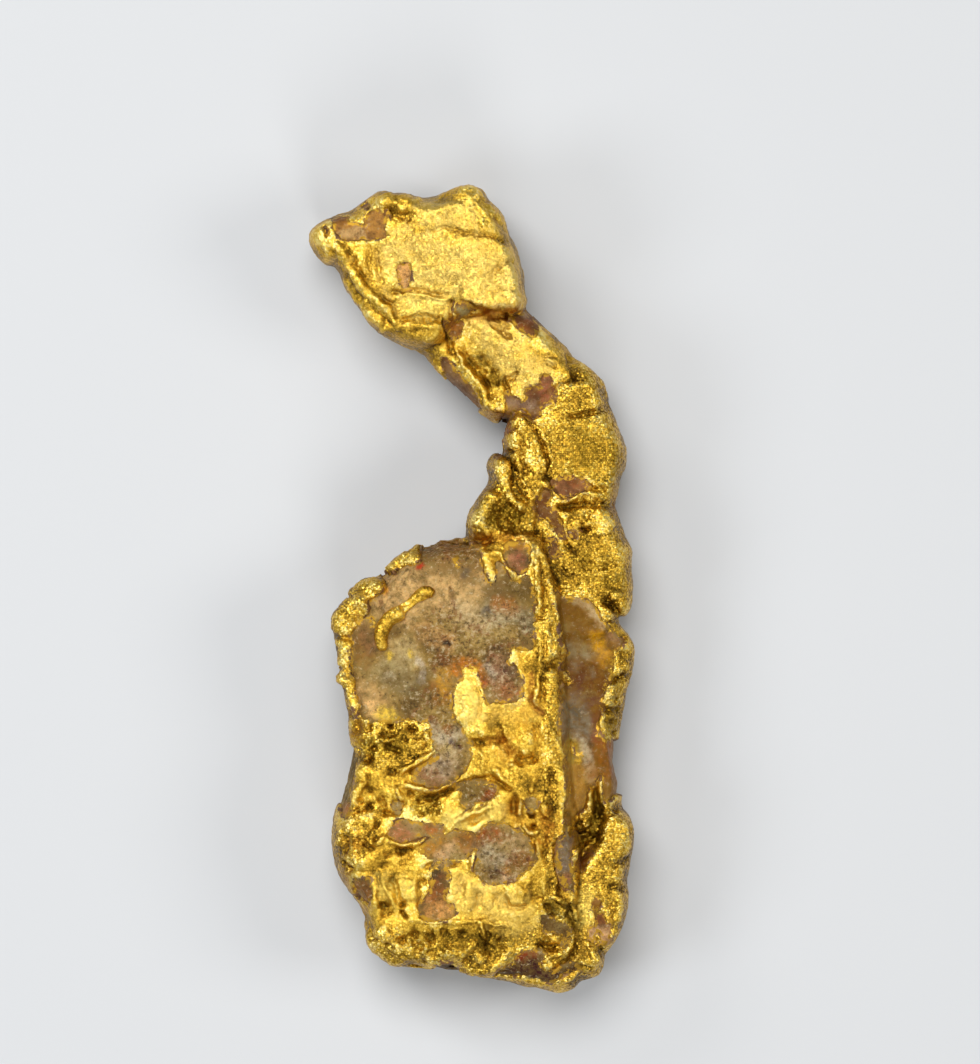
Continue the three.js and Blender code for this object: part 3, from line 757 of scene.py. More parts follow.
def relaxed(made: Piece, rows: np.ndarray, rounds: int, share: float = 0.5) -> np.ndarray:
    """Rows of values over the vertices, each drawn towards the mean of its neighbours, round after round.

    Args:
        made: the object whose edges join the neighbours.
        rows: one row of values for each vertex.
        rounds: how many times the values are drawn together.
        share: how far each goes towards the mean.

    Returns:
        The smoothed rows.
    """
    edges = np.empty(len(made.data.edges) * 2, dtype=np.int32)
    made.data.edges.foreach_get("vertices", edges)
    a, b = edges.reshape(-1, 2).T
    ends, others = np.concatenate([a, b]), np.concatenate([b, a])
    count = np.maximum(np.bincount(ends, minlength=len(rows)), 1)
    smooth = rows.copy()
    for _ in range(rounds):
        means = [np.bincount(ends, column[others], len(rows)) / count for column in smooth.T]
        smooth += share * (np.stack(means, -1) - smooth)
    return smooth


def facing(rows: np.ndarray, outward: np.ndarray, turned: tuple, risen: tuple) -> np.ndarray:
    """1 where a vertex faces up and lies high, else 0; each pair says where that starts and is full."""
    return smooth_step(*turned, outward[:, 2]) * smooth_step(*risen, rows[:, 2])


def carve(made: Piece, name: str, values: np.ndarray) -> None:
    """Stores one number for each vertex as an attribute that the material reads."""
    layer = made.data.attributes.new(name, "FLOAT", "POINT")
    layer.data.foreach_set("value", values.astype(np.float32))


def tint(made: Piece, name: str, colours: np.ndarray) -> None:
    """Stores one linear colour for each vertex as an attribute that the material reads.

    Args:
        made: the object.
        name: the attribute's name.
        colours: rows of red, green and blue.
    """
    layer = made.data.attributes.new(name, "FLOAT_COLOR", "POINT")
    rows = np.hstack([colours, np.ones((len(colours), 1))])
    layer.data.foreach_set("color", rows.astype(np.float32).ravel())


def lay_coat(made: Piece, coat: np.ndarray, front: np.ndarray) -> None:
    """Stores the stains of a coat: their cover on the front, and their colour, freed from the cover."""
    carve(made, "stained", coat[:, 3] * front)
    tint(made, "stain", coat[:, :3] / np.maximum(coat[:, 3:], 1e-3))


def linear(code: str) -> np.ndarray:
    """A hex colour as linear light: each part c becomes ((c + 0.055) / 1.055) to the power 2.4."""
    parts = np.array([int(code[i : i + 2], 16) / 255 for i in (1, 3, 5)])
    return np.where(parts <= 0.04045, parts / 12.92, ((parts + 0.055) / 1.055) ** 2.4)


# ------------ the shapes ------------


def points(text: str) -> list:
    """Points, each written as numbers joined by commas, with a space between two points."""
    return [tuple(float(part) for part in point.split(",")) for point in text.split()]


def uncommented(text: str) -> str:
    """A text without its comments, the lines that start with a # and a space."""
    return "\n".join(line for line in text.splitlines() if not line.strip().startswith("# "))


def outlines(text: str) -> list:
    """Closed outlines: runs of points that each end in a semicolon."""
    return [points(run) for run in uncommented(text).split(";") if run.strip()]


def marks(text: str) -> list:
    """Reads strokes or stains; each may run over several lines.

    Args:
        text: for each, a word or a colour, then two numbers and its points.

    Returns:
        Rows of the word, the two numbers and the list of points.
    """
    rows = []
    for part in uncommented(text).split():
        if part[0].isalpha() or part[0] == "#":
            rows.append([part])
        else:
            rows[-1].append(part)
    return [(name, float(one), float(two), points(" ".join(run))) for name, one, two, *run in rows]


def strokes(text: str) -> list[Stroke]:
    """Strokes, each written as its mark, its half width, its height and its points."""
    return [Stroke(Mark(name), *rest) for name, *rest in marks(text)]


def stains(text: str) -> list[Stain]:
    """Stains, each written as its colour, its radius, its cover and its points."""
    return [Stain(*row) for row in marks(text)]


HEAD = Lobe(
    outline=points("""
        310,235 316,226 335,216 350,212 358,207 367,201 375,195 385,192 395,195 410,196 425,199 437,197
        445,194 455,190 468,187 480,191 487,200 497,210 503,222 508,235 515,248 520,265 525,290 527,305
        515,318 485,318 458,325 445,345 428,350 405,344 380,332 368,320 360,308 352,295 345,283 341,272
        335,265 325,263 318,256 312,246
    """),
    levels=points("""
        325,240,4.3 350,230,4.5 385,220,4.9 400,260,5.2 440,230,5.4 470,205,5.2 480,260,5.6 510,290,5.5
        430,310,5.0 380,300,4.5 360,280,4.6 400,335,4.4
    """),
    back=0.02,
    edge=0.55,
    sideways=True,
)
NECK = Lobe(
    outline=points("""
        470,305 515,305 532,316 545,328 555,338 565,348 572,358 585,365 598,375 605,390 606,405 590,440
        560,450 525,425 501,419 495,421 485,414 475,405 462,393 450,382 438,370 428,357 418,347 440,320
    """),
    levels=points("""
        440,350,3.8 462,388,3.6 480,335,4.5 520,345,4.7 545,345,4.3 490,400,4.2 540,390,4.5 590,390,4.3
    """),
    back=0.75,
    edge=0.6,
)
COLUMN = Lobe(
    outline=points("""
        550,378 590,372 600,385 606,400 614,418 621,435 625,450 625,465 620,480 617,495 614,505 618,515
        621,525 627,540 632,550 631,570 633,590 631,605 626,616 616,622 610,640 590,650 560,645 538,625
        528,580 524,530 524,480 520,440 526,400
    """),
    levels=points("""
        545,420,4.5 580,430,4.9 610,450,4.4 555,470,4.6 585,500,4.5 590,540,4.9 615,560,4.4 560,560,4.8
        600,600,4.6 620,610,4.1 565,620,4.7 595,640,4.4
    """),
    back=0.55,
    edge=0.66,
)
UPPER_KNOB = Lobe(
    outline=points("""
        518,408 536,412 551,426 559,450 560,470 554,488 535,508 508,500 503,470 504,448 504,432 510,416
    """),
    levels=points("520,425,4.5 527,450,4.9 525,475,4.8"),
    back=1.3,
    edge=0.55,
    rows=60,
    around=80,
)
LOWER_KNOB = Lobe(
    outline=points("""
        493,455 503,456 514,468 528,482 541,500 543,520 536,543 500,550 470,546 467,528 470,514 478,500
        486,488 491,476 488,466
    """),
    levels=points("498,470,4.3 500,495,5.0 480,518,5.1 518,515,5.2 500,540,4.5"),
    back=0.95,
    edge=0.55,
    rows=60,
    around=80,
)
BODY = Lobe(
    outline=points("""
        480,532 466,540 452,541 440,539 430,544 418,547 400,558 388,570 376,578 362,585 350,598 340,607
        335,620 335,635 338,660 342,680 345,700 349,715 351,735 351,750 348,765 345,780 341,795 336,808
        333,825 334,850 338,870 345,885 355,900 362,910 365,925 366,937 370,948 380,958 392,965 402,967
        412,964 425,966 445,971 458,969 468,973 482,977 505,981 520,986 537,988 550,992 560,993 572,990
        580,982 592,978 600,972 603,955 598,930 590,900 584,860 577,800 573,740 571,700 569,650 566,600
        556,560 548,530 500,515
    """),
    levels=points("""
        440,560,4.9 400,580,4.7 360,610,4.6 350,660,4.7 400,640,5.1 450,620,5.3 500,600,5.4 545,615,5.6
        545,700,5.7 500,680,5.5 430,700,5.3 360,720,4.9 380,750,5.2 450,760,5.3 510,750,5.6 545,780,5.8
        350,820,4.9 400,830,5.3 500,850,5.3 545,860,5.7 380,900,5.2 450,880,5.2 460,915,5.6 520,910,5.4
        400,945,4.9 450,955,4.8 520,965,4.5 560,975,3.9 560,930,4.8
    """),
    back=0.02,
    edge=0.9,
    rows=190,
    around=190,
)
SEAM_SIDE = Lobe(
    outline=points("""
        545,565 580,568 605,590 613,612 625,630 632,642 634,655 632,672 627,690 624,705 620,720 618,745
        619,770 622,783 621,795 620,825 614,860 608,900 600,940 580,955 560,930 548,850 545,750 545,650
    """),
    levels=points("""
        585,640,4.4 590,700,4.3 590,760,4.4 575,790,4.2 615,660,4.0 612,720,3.9 575,850,3.9 585,910,3.9
    """),
    back=0.65,
    edge=0.8,
)
HEEL = Lobe(
    outline=points("""
        608,806 620,808 632,822 633,838 631,850 629,865 626,880 627,900 625,915 620,930 614,942 606,953
        600,965 585,972 574,955 575,930 570,905 570,885 575,868 584,850 592,838 598,820
    """),
    levels=points("614,830,4.7 600,850,4.9 590,880,4.9 610,880,4.8 594,910,4.8 612,915,4.6 592,950,4.2"),
    back=0.45,
    edge=0.5,
    rows=80,
    around=90,
)
LOBES = (HEAD, NECK, COLUMN, UPPER_KNOB, LOWER_KNOB, BODY, SEAM_SIDE, HEEL)
# how spongy each lobe's gold is
LOBE_GRAIN = (
    (HEAD, 0.5), (NECK, 0.5), (BODY, 0.4), (HEEL, 0.9), (COLUMN, 1.0), (LOWER_KNOB, 0.7), (UPPER_KNOB, 0.8)
)


@dataclass(frozen=True)
class GoldMass:
    """The gold: all the lobes as one piece, with the relief of its face and its windows."""

    voxel: float = 0.062
    triangles: int = 196_000
    window_depth: float = 0.5
    block_depth: float = 0.75  # how far the sides draw back to bare the block of quartz
    block: tuple = ((330, 560), (555, 718))  # the block's corners on the sheet
    smooth_gold: tuple[Swell, ...] = (Swell(0.02, 0.6, 3, ridged=True), Swell(0.03, 0.4, 3, 5))
    spongy_gold: tuple[Swell, ...] = (Swell(0.018, 0.24, 2, 9), Swell(0.03, 0.9, 2, 5))
    flanks: tuple[Swell, ...] = (Swell(0.09, 1.8, 3), Swell(0.025, 0.7, 2, 3, ridged=True))
    hollow_depth: float = 0.1  # a hollow this deep gets the darkest painted shade
    # painted shade: how much darker the flanks are coloured
    painted_flank_shade: float = 0.75
    flank_grain: float = 0.6

    def build(self, face: Face) -> Piece:
        """Melts the lobes together and presses the face's relief into them.

        Args:
            face: the nugget's face.

        Returns:
            The finished gold, in metres.
        """
        gold = mesh_of("gold", joined([lobe.surface(face.sheet) for lobe in LOBES]))
        with_modifier(gold, "REMESH", mode="VOXEL", voxel_size=self.voxel)
        place(gold, relaxed(gold, positions(gold), 3))
        rows = self.crinkled(gold, face)
        rows[:, 2] = np.maximum(rows[:, 2], 0.0)
        place(gold, rows)
        ratio = self.triangles / (2 * len(gold.data.polygons))
        if ratio < 1:
            with_modifier(gold, "DECIMATE", ratio=ratio)
        self.dress(gold, face)
        place(gold, positions(gold) * MILLIMETRE)
        return gold

    def crinkled(self, gold: Piece, face: Face) -> np.ndarray:
        """The vertices after the relief, the windows and the crinkle have moved them along their normals.

        Smooth gold is crinkled like foil and spongy gold is lumpy; the sides and the back are rougher. Front
        is 1 on the face and 0 on the flanks, and sunk is 1 in a window.

        Args:
            gold: the melted gold.
            face: the nugget's face.

        Returns:
            The rows of moved vertices.
        """
        rows, outward = positions(gold), normals(gold)
        front = facing(rows, outward, (-0.15, 0.35), (1.9, 2.8))
        upper = smooth_step(*WINDOWS_FROM, rows[:, 2])
        at = face.warped(rows)
        pressed = face.sample(face.gold, at)
        inside = face.sample(face.window, at)
        grain = face.sample(face.grain, at)
        sunk = smooth_step(-0.02, 0.08, inside) * upper
        foil = rough_ground(face.noise, rows, *self.smooth_gold)
        sponge = rough_ground(face.noise, rows, *self.spongy_gold)
        crinkle = foil + (sponge - foil) * grain
        rough = rough_ground(face.noise, rows, *self.flanks) * (1 - front)
        moved = front * pressed + (crinkle + rough) * (1 - 0.7 * sunk) - self.window_depth * sunk
        moved -= self.block_depth * self.quartz_block(face, rows) * (1 - upper)
        return rows + outward * moved[:, None]

    def quartz_block(self, face: Face, rows: np.ndarray) -> np.ndarray:
        """How far a vertex lies in the block of milky quartz that fills the upper body from back to front.

        Args:
            face: the nugget's face.
            rows: the vertices.

        Returns:
            One share for each vertex, from 0 outside the block to 1 inside it.
        """
        x, y = rows[:, 0] + rough_ground(face.noise, rows, Swell(0.5, 1.6, 3, 17)), rows[:, 1]
        edge = face.sheet.place(self.block)
        span = smooth_step(0, 0.3, x - edge[0, 0]) * smooth_step(0, 0.3, edge[1, 0] - x)
        return span * smooth_step(0, 0.3, edge[0, 1] - y) * smooth_step(0, 0.6, y - edge[1, 1])

    def dress(self, gold: Piece, face: Face) -> None:
        """Stores what the gold's finish reads: painted shade in its hollows and on its flanks, how thin and
        spongy each place is, and its coat of stains with painted highlights and shade.

        Args:
            gold: the finished shape, in millimetres.
            face: the nugget's face.
        """
        rows, outward = positions(gold), normals(gold)
        # painted shade: how far each place lies below its smoothed surroundings, coloured darker by the
        # finish
        fine = relaxed(gold, rows, 4)
        broad = relaxed(gold, fine, 30)
        hollow = np.einsum("ij,ij->i", broad - fine, outward)
        front = facing(rows, outward, (0.0, 0.4), STAINS_FROM)
        # painted shade: the flanks, sides and back, are coloured darker
        flank = 1 - smooth_step(-0.1, 0.7, outward[:, 2])
        at = face.warped(rows)
        edge = face.sample(face.window, at)
        carve(gold, "hollow", np.clip(hollow / self.hollow_depth, -1, 1) + self.painted_flank_shade * flank)
        carve(gold, "thin", smooth_step(-0.28, 0.02, edge) * smooth_step(*WINDOWS_FROM, rows[:, 2]))
        carve(gold, "grain", np.maximum(face.sample(face.grain, at), self.flank_grain * (1 - front)))
        lay_coat(gold, face.sample(face.gold_coat, at), front)


@dataclass(frozen=True)
class QuartzMass:
    """A mass of quartz: a lobe drawn inwards, whose face rises to lie flush in the gold's windows."""

    name: str
    lobe: Lobe
    voxel: float
    inset: float
    swell: float  # how high its swells are
    facets: float  # and its broken edges
    hidden: float = 0.4  # how far it lies below the gold's face outside the windows
    flush: float = 0.03  # and in them

    def build(self, face: Face) -> Piece:
        """The mass as one closed piece with a rough, broken face.

        Args:
            face: the nugget's face.

        Returns:
            The finished quartz, in metres.
        """
        quartz = mesh_of(self.name, self.lobe.surface(face.sheet, self.inset))
        with_modifier(quartz, "REMESH", mode="VOXEL", voxel_size=self.voxel)
        rows, outward = positions(quartz), normals(quartz)
        front = facing(rows, outward, (0.1, 0.6), (2.6, 3.2))
        at = face.warped(rows)
        shown = smooth_step(-0.3, -0.12, face.sample(face.window, at))
        sunk = np.minimum(face.sample(face.gold, at), 0) - self.hidden
        raised = face.sample(face.quartz, at) - self.flush
        level = face.sample(face.level, at) + sunk + shown * (raised - sunk)
        rows[:, 2] += front * (level - rows[:, 2])
        swells = (Swell(self.swell, 1.3, 3, 40), Swell(self.facets, 0.5, 2, 50, ridged=True))
        moved = rough_ground(face.noise, rows, *swells)
        rows = rows + outward * moved[:, None]
        rows[:, 2] = np.maximum(rows[:, 2], 0.03)
        place(quartz, rows)
        dress_quartz(quartz, face)
        return quartz


@dataclass(frozen=True)
class QuartzFlecks:
    """Small faces of quartz in the head, the neck, the column and the heel."""

    name: str
    outlines: list
    lift: float = -0.03
    thickness: float = 0.6

    def build(self, face: Face) -> Piece:
        """The flecks as slabs under their windows, one object.

        Args:
            face: the nugget's face.

        Returns:
            The finished flecks, in metres.
        """
        quartz = mesh_of(self.name, face.slab(self.outlines, self.lift, self.thickness))
        dress_quartz(quartz, face)
        return quartz


def dress_quartz(quartz: Piece, face: Face) -> None:
    """Stores what the quartz's finish reads, and brings the piece from millimetres to metres.

    Args:
        quartz: the finished shape, in millimetres.
        face: the nugget's face.
    """
    rows, outward = positions(quartz), normals(quartz)
    at = face.warped(rows)
    front = facing(rows, outward, (-0.1, 0.3), STAINS_FROM)
    carve(quartz, "pits", face.sample(face.pits, rows) * front)
    carve(quartz, "gilt", smooth_step(0.24, 0.0, face.sample(face.window, at)) * front)
    lay_coat(quartz, face.sample(face.quartz_coat, at), front)
    place(quartz, rows * MILLIMETRE)


@dataclass(frozen=True)
class HookedWire:
    """The short hooked wire that lies by itself on the milky quartz."""

    voxel: float = 0.045
    lift: float = 0.02
    hollow: float = -0.5  # painted highlight: the whole wire takes the gold's light crest colours
    grain: float = 0.6
    around: int = 16
    # each strand: x and y on the sheet, and the radius in millimetres
    strands: tuple = (
        "386,650,0.16 382,641,0.26 383,630,0.29 389,620,0.3 397,614,0.33 405,610,0.25",
        "397,607,0.06 406,603,0.08 414,598,0.13 421,593,0.2 428,591,0.24 434,596,0.19",
        "402,613,0.09 409,607,0.12 415,602,0.1 421,598,0.12 427,596,0.13",
    )

    def build(self, face: Face) -> Piece:
        """Strands that meet in a hook, with drop-shaped ends.

        Args:
            face: the nugget's face, which the wire lies on.

        Returns:
            The finished wire, in metres.
        """
        wire = mesh_of("hooked_wire", joined([self.strand(face, points(path)) for path in self.strands]))
        with_modifier(wire, "REMESH", mode="VOXEL", voxel_size=self.voxel)
        rows, outward = positions(wire), normals(wire)
        moved = rough_ground(face.noise, rows, Swell(0.03, 0.35, 3))
        place(wire, (rows + outward * moved[:, None]) * MILLIMETRE)
        for name, value in (("hollow", self.hollow), ("grain", self.grain), ("stained", 0.0), ("thin", 0.0)):
            carve(wire, name, np.full(len(rows), value))
        tint(wire, "stain", np.zeros((len(rows), 3)))
        return wire

    def strand(self, face: Face, path: list) -> Surface:
        """A circle carried along the path; its radius falls to nothing at both ends as a quarter circle.

        Args:
            face: the nugget's face.
            path: rows of x, y and radius.

        Returns:
            The closed surface.
        """
        spine = smooth_path(face.sheet.place(path), closed=False)
        share = np.linspace(0, 1, len(spine))
        blunt = np.clip(np.minimum(share, 1 - share) / 0.08, 0, 1)
        radius = spine[:, 2] * np.sqrt(np.maximum(1 - (1 - blunt) ** 2, 0.02))
        middle = spine.copy()
        middle[:, 2] = face.sample(face.level, spine) + self.lift + 0.3 * spine[:, 2]
        forward = np.gradient(middle, axis=0)
        forward /= np.linalg.norm(forward, axis=1)[:, None]
        side = np.cross([0.0, 0.0, 1.0], forward)
        side /= np.maximum(np.linalg.norm(side, axis=1), 1e-6)[:, None]
        over = np.cross(forward, side)
        angle = np.linspace(0, WHOLE_TURN, self.around, endpoint=False)[None, :, None]
        ring = np.cos(angle) * side[:, None, :] + np.sin(angle) * over[:, None, :]
        return closed_rings(middle[:, None, :] + radius[:, None, None] * ring)


# ------------ finishes ------------


def add_node(tree: Tree, kind: str, links: dict | None = None, **settings: object) -> bpy.types.Node:
    """Adds a node, sets its options and sockets, and links its inputs.

    Args:
        tree: the material's node tree.
        kind: the node's type, without its prefix.
        links: input name or number to an output socket, or to a value.
        settings: the node's own options.

    Returns:
        The node.
    """
    node = tree.nodes.new("ShaderNode" + kind)
    for key, value in settings.items():
        setattr(node, key, value)
    for key, value in (links or {}).items():
        if isinstance(value, Socket):
            tree.links.new(value, node.inputs[key])
        else:
            node.inputs[key].default_value = value
    return node


def colour(code: str) -> tuple:
    """A hex colour as a linear colour with full alpha."""
    return (*linear(code), 1.0)


def ramp_of(tree: Tree, value: Socket, stops: tuple) -> Socket:
    """A colour ramp over a value.

    Args:
        tree: the material's node tree.
        value: the value, from 0 to 1.
        stops: pairs of a place and a hex colour.

    Returns:
        The colour.
    """
    ramp = add_node(tree, "ValToRGB", {"Fac": value})
    elements = ramp.color_ramp.elements
    elements.remove(elements[-1])
    for n, (at, code) in enumerate(stops):
        stop = elements[0] if n == 0 else elements.new(at)
        stop.position = at
        stop.color = colour(code)
    return ramp.outputs["Color"]


def new_tree(name: str) -> tuple:
    """A material with an empty node tree.

    Args:
        name: the material's name.

    Returns:
        The material, its tree, and the object's own coordinates.
    """
    made = bpy.data.materials.new(name)
    made.use_nodes = True
    made.node_tree.nodes.clear()
    place_at = add_node(made.node_tree, "TexCoord").outputs["Object"]
    return made, made.node_tree, place_at


def attribute(tree: Tree, name: str) -> Socket:
    """A number that the piece carries for each of its places."""
    return add_node(tree, "Attribute", attribute_name=name).outputs["Fac"]


def noise_of(tree: Tree, place_at: Socket, size_mm: float, detail: float, roughness: float = 0.6,
             distortion: float = 0.0) -> Socket:
    """Cloudy noise over the object.

    Args:
        tree: the material's node tree.
        place_at: the object's coordinates.
        size_mm: the width of its largest clouds.
        detail: how many finer layers it has.
        roughness: how strong they are.
        distortion: how much the clouds are bent.

    Returns:
        The noise, from 0 to 1.
    """
    node = add_node(tree, "TexNoise", {"Vector": place_at, "Scale": 1 / (size_mm * MILLIMETRE)})
    for name, value in (("Detail", detail), ("Roughness", roughness), ("Distortion", distortion)):
        node.inputs[name].default_value = value
    return node.outputs["Fac"]


def spread(tree: Tree, value: Socket, low: float, high: float, start: float, end: float) -> Socket:
    """Maps a value from the span low to high to the span start to end."""
    spans = {"Value": value, "From Min": low, "From Max": high, "To Min": start, "To Max": end}
    return add_node(tree, "MapRange", spans).outputs[0]


def blend(tree: Tree, share: Socket, ends: tuple, unit: float = 1.0) -> Socket:
    """A number that goes from one end to the other as a share goes from 0 to 1."""
    return spread(tree, share, 0, 1, ends[0] * unit, ends[1] * unit)


def sum_of(tree: Tree, operation: str, *values: object, use_clamp: bool = False) -> Socket:
    """The result of one sum over sockets or numbers."""
    links = dict(enumerate(values))
    return add_node(tree, "Math", links, operation=operation, use_clamp=use_clamp).outputs[0]


def bumped(tree: Tree, height: Socket, strength: float, depth: object, under: dict | None = None,
           invert: bool = False) -> Socket:
    """The normal of bumps that follow a height and are depth metres deep, over the bumps under them."""
    sockets = {"Height": height, "Strength": strength, "Distance": depth, **(under or {})}
    return add_node(tree, "Bump", sockets, invert=invert).outputs["Normal"]


def mixed(tree: Tree, share: Socket, under: Socket, over: object) -> Socket:
    """A colour laid over another as far as a share says."""
    return add_node(tree, "Mix", {"Factor": share, 6: under, 7: over}, data_type="RGBA").outputs[2]


def finished(made: Finish, sockets: dict) -> Finish:
    """A material whose surface has the given sockets set or linked.

    Args:
        made: the material.
        sockets: the surface's sockets by name, each with a value or a socket to link.

    Returns:
        The material.
    """
    shader = add_node(made.node_tree, "BsdfPrincipled", sockets)
    add_node(made.node_tree, "OutputMaterial", {"Surface": shader.outputs[0]})
    return made


def with_stain(tree: Tree, base: Socket, cloud: Socket) -> Socket:
    """A base colour under the piece's stain, whose cover is broken up by a cloud.

    Args:
        tree: the material's node tree.
        base: the colour below.
        cloud: noise from 0 to 1.

    Returns:
        The stained colour.
    """
    broken = spread(tree, cloud, 0.32, 0.62, 0.2, 1.5)
    cover = sum_of(tree, "MULTIPLY", attribute(tree, "stained"), broken, use_clamp=True)
    return mixed(tree, cover, base, add_node(tree, "Attribute", attribute_name="stain").outputs["Color"])


# the gold's colours: cloud noise varies the tone; the light stops on crests and the dark stops in hollows
# and on flanks are painted light and shade; then the rusty quartz under the gold's torn edges
GOLD_STOPS = ((0.1, "#fae289"), (0.3, "#eec850"), (0.48, "#d4a737"), (0.66, "#a37d26"), (0.95, "#4e3a12"))
ROSY_STOPS = ((0.34, "#4a2e10"), (0.47, "#6a441e"), (0.57, "#845c28"), (0.68, "#9c7a40"))


@dataclass(frozen=True)
class NativeGold:
    """Native gold, unpolished: painted light on its crests and painted shade in its hollows and on its
    flanks, and in places spongy with fine pores. Most pairs are a value for smooth gold and one for spongy
    gold."""

    cloud_mm: float = 1.2
    foil_mm: float = 0.4
    # real granules are finer, about 0.05 mm; they are drawn wider so that they can be seen
    pore_mm: float = 0.08
    # painted shade: how much darker the hollows and flanks are coloured
    painted_hollow_shade: float = 0.3
    sponge_shade: float = 0.1
    # how much the granules differ in tone, with painted shade between them, for smooth and for spongy gold
    mottle: tuple[float, float] = (0.12, 0.46)
    foil_relief_mm: tuple[float, float] = (0.09, 0.03)
    pore_relief_mm: tuple[float, float] = (0.008, 0.016)
    relief_strength: float = 0.9
    facet_tilt: tuple[float, float] = (0.14, 0.75)
    roughness: tuple[float, float] = (0.5, 0.34)  # from granule to granule

    def material(self) -> Finish:
        """Builds the material: a metal with a satin lustre on its folds and a matt glitter where spongy.

        Returns:
            The gold's material.
        """
        made, tree, place_at = new_tree("native_gold")
        hollow, grain = attribute(tree, "hollow"), attribute(tree, "grain")
        cloud = noise_of(tree, place_at, self.cloud_mm, detail=4.0)
        foil = noise_of(tree, place_at, self.foil_mm, detail=6.0, roughness=0.7, distortion=0.5)
        scale = 1 / (self.pore_mm * MILLIMETRE)
        granules = add_node(tree, "TexVoronoi", {"Vector": place_at, "Scale": scale}).outputs
        pore = granules["Distance"]
        each = add_node(tree, "SeparateColor", {0: granules["Color"]}).outputs[0]
        # granules of random tone, lighter at their middles and darker between them as painted shade, over a
        # painted shade that deepens in hollows and on flanks, and a darker tone in spongy places
        shade = sum_of(tree, "MULTIPLY_ADD", hollow, self.painted_hollow_shade, cloud)
        shade = sum_of(tree, "MULTIPLY_ADD", grain, self.sponge_shade, shade)
        granule_tone_and_painted_shade = sum_of(tree, "SUBTRACT", each, pore)
        mottle = sum_of(tree, "MULTIPLY", granule_tone_and_painted_shade, blend(tree, grain, self.mottle))
        shade = sum_of(tree, "SUBTRACT", shade, mottle)
        # the coat over it: real stains, painted highlights and painted shade
        gold = with_stain(tree, ramp_of(tree, shade, GOLD_STOPS), foil)
        # torn edges, where the rusty quartz shows through
        worn = torn(tree, attribute(tree, "thin"), foil)
        base = mixed(tree, worn, gold, ramp_of(tree, cloud, ROSY_STOPS))
        # crinkled foil, then pores, then granules that each face their own way
        depth = blend(tree, grain, self.foil_relief_mm, MILLIMETRE)
        coarse = bumped(tree, foil, self.relief_strength, depth)
        depth = blend(tree, grain, self.pore_relief_mm, MILLIMETRE)
        fine = bumped(tree, pore, self.relief_strength, depth, {"Normal": coarse}, invert=True)
        middle = {0: granules["Color"], 1: (0.5, 0.5, 0.5)}
        facet = add_node(tree, "VectorMath", middle, operation="SUBTRACT").outputs[0]
        lean = {0: facet, 1: blend(tree, grain, self.facet_tilt), 2: fine}
        tilted = add_node(tree, "VectorMath", lean, operation="MULTIPLY_ADD").outputs[0]
        normal = add_node(tree, "VectorMath", {0: tilted}, operation="NORMALIZE").outputs[0]
        return finished(made, {
            "Base Color": base, "Metallic": blend(tree, worn, (1.0, 0.0)),
            "Roughness": blend(tree, each, self.roughness), "Normal": normal,
        })


def torn(tree: Tree, share: Socket, cloud: Socket, reach: float = 0.22, limit: float = 0.7) -> Socket:
    """A ragged cover: 1 where a cloud plus a part of the share is above a limit, and 0 elsewhere."""
    return spread(tree, sum_of(tree, "MULTIPLY_ADD", share, reach, cloud), limit, limit + 0.04, 0.0, 1.0)


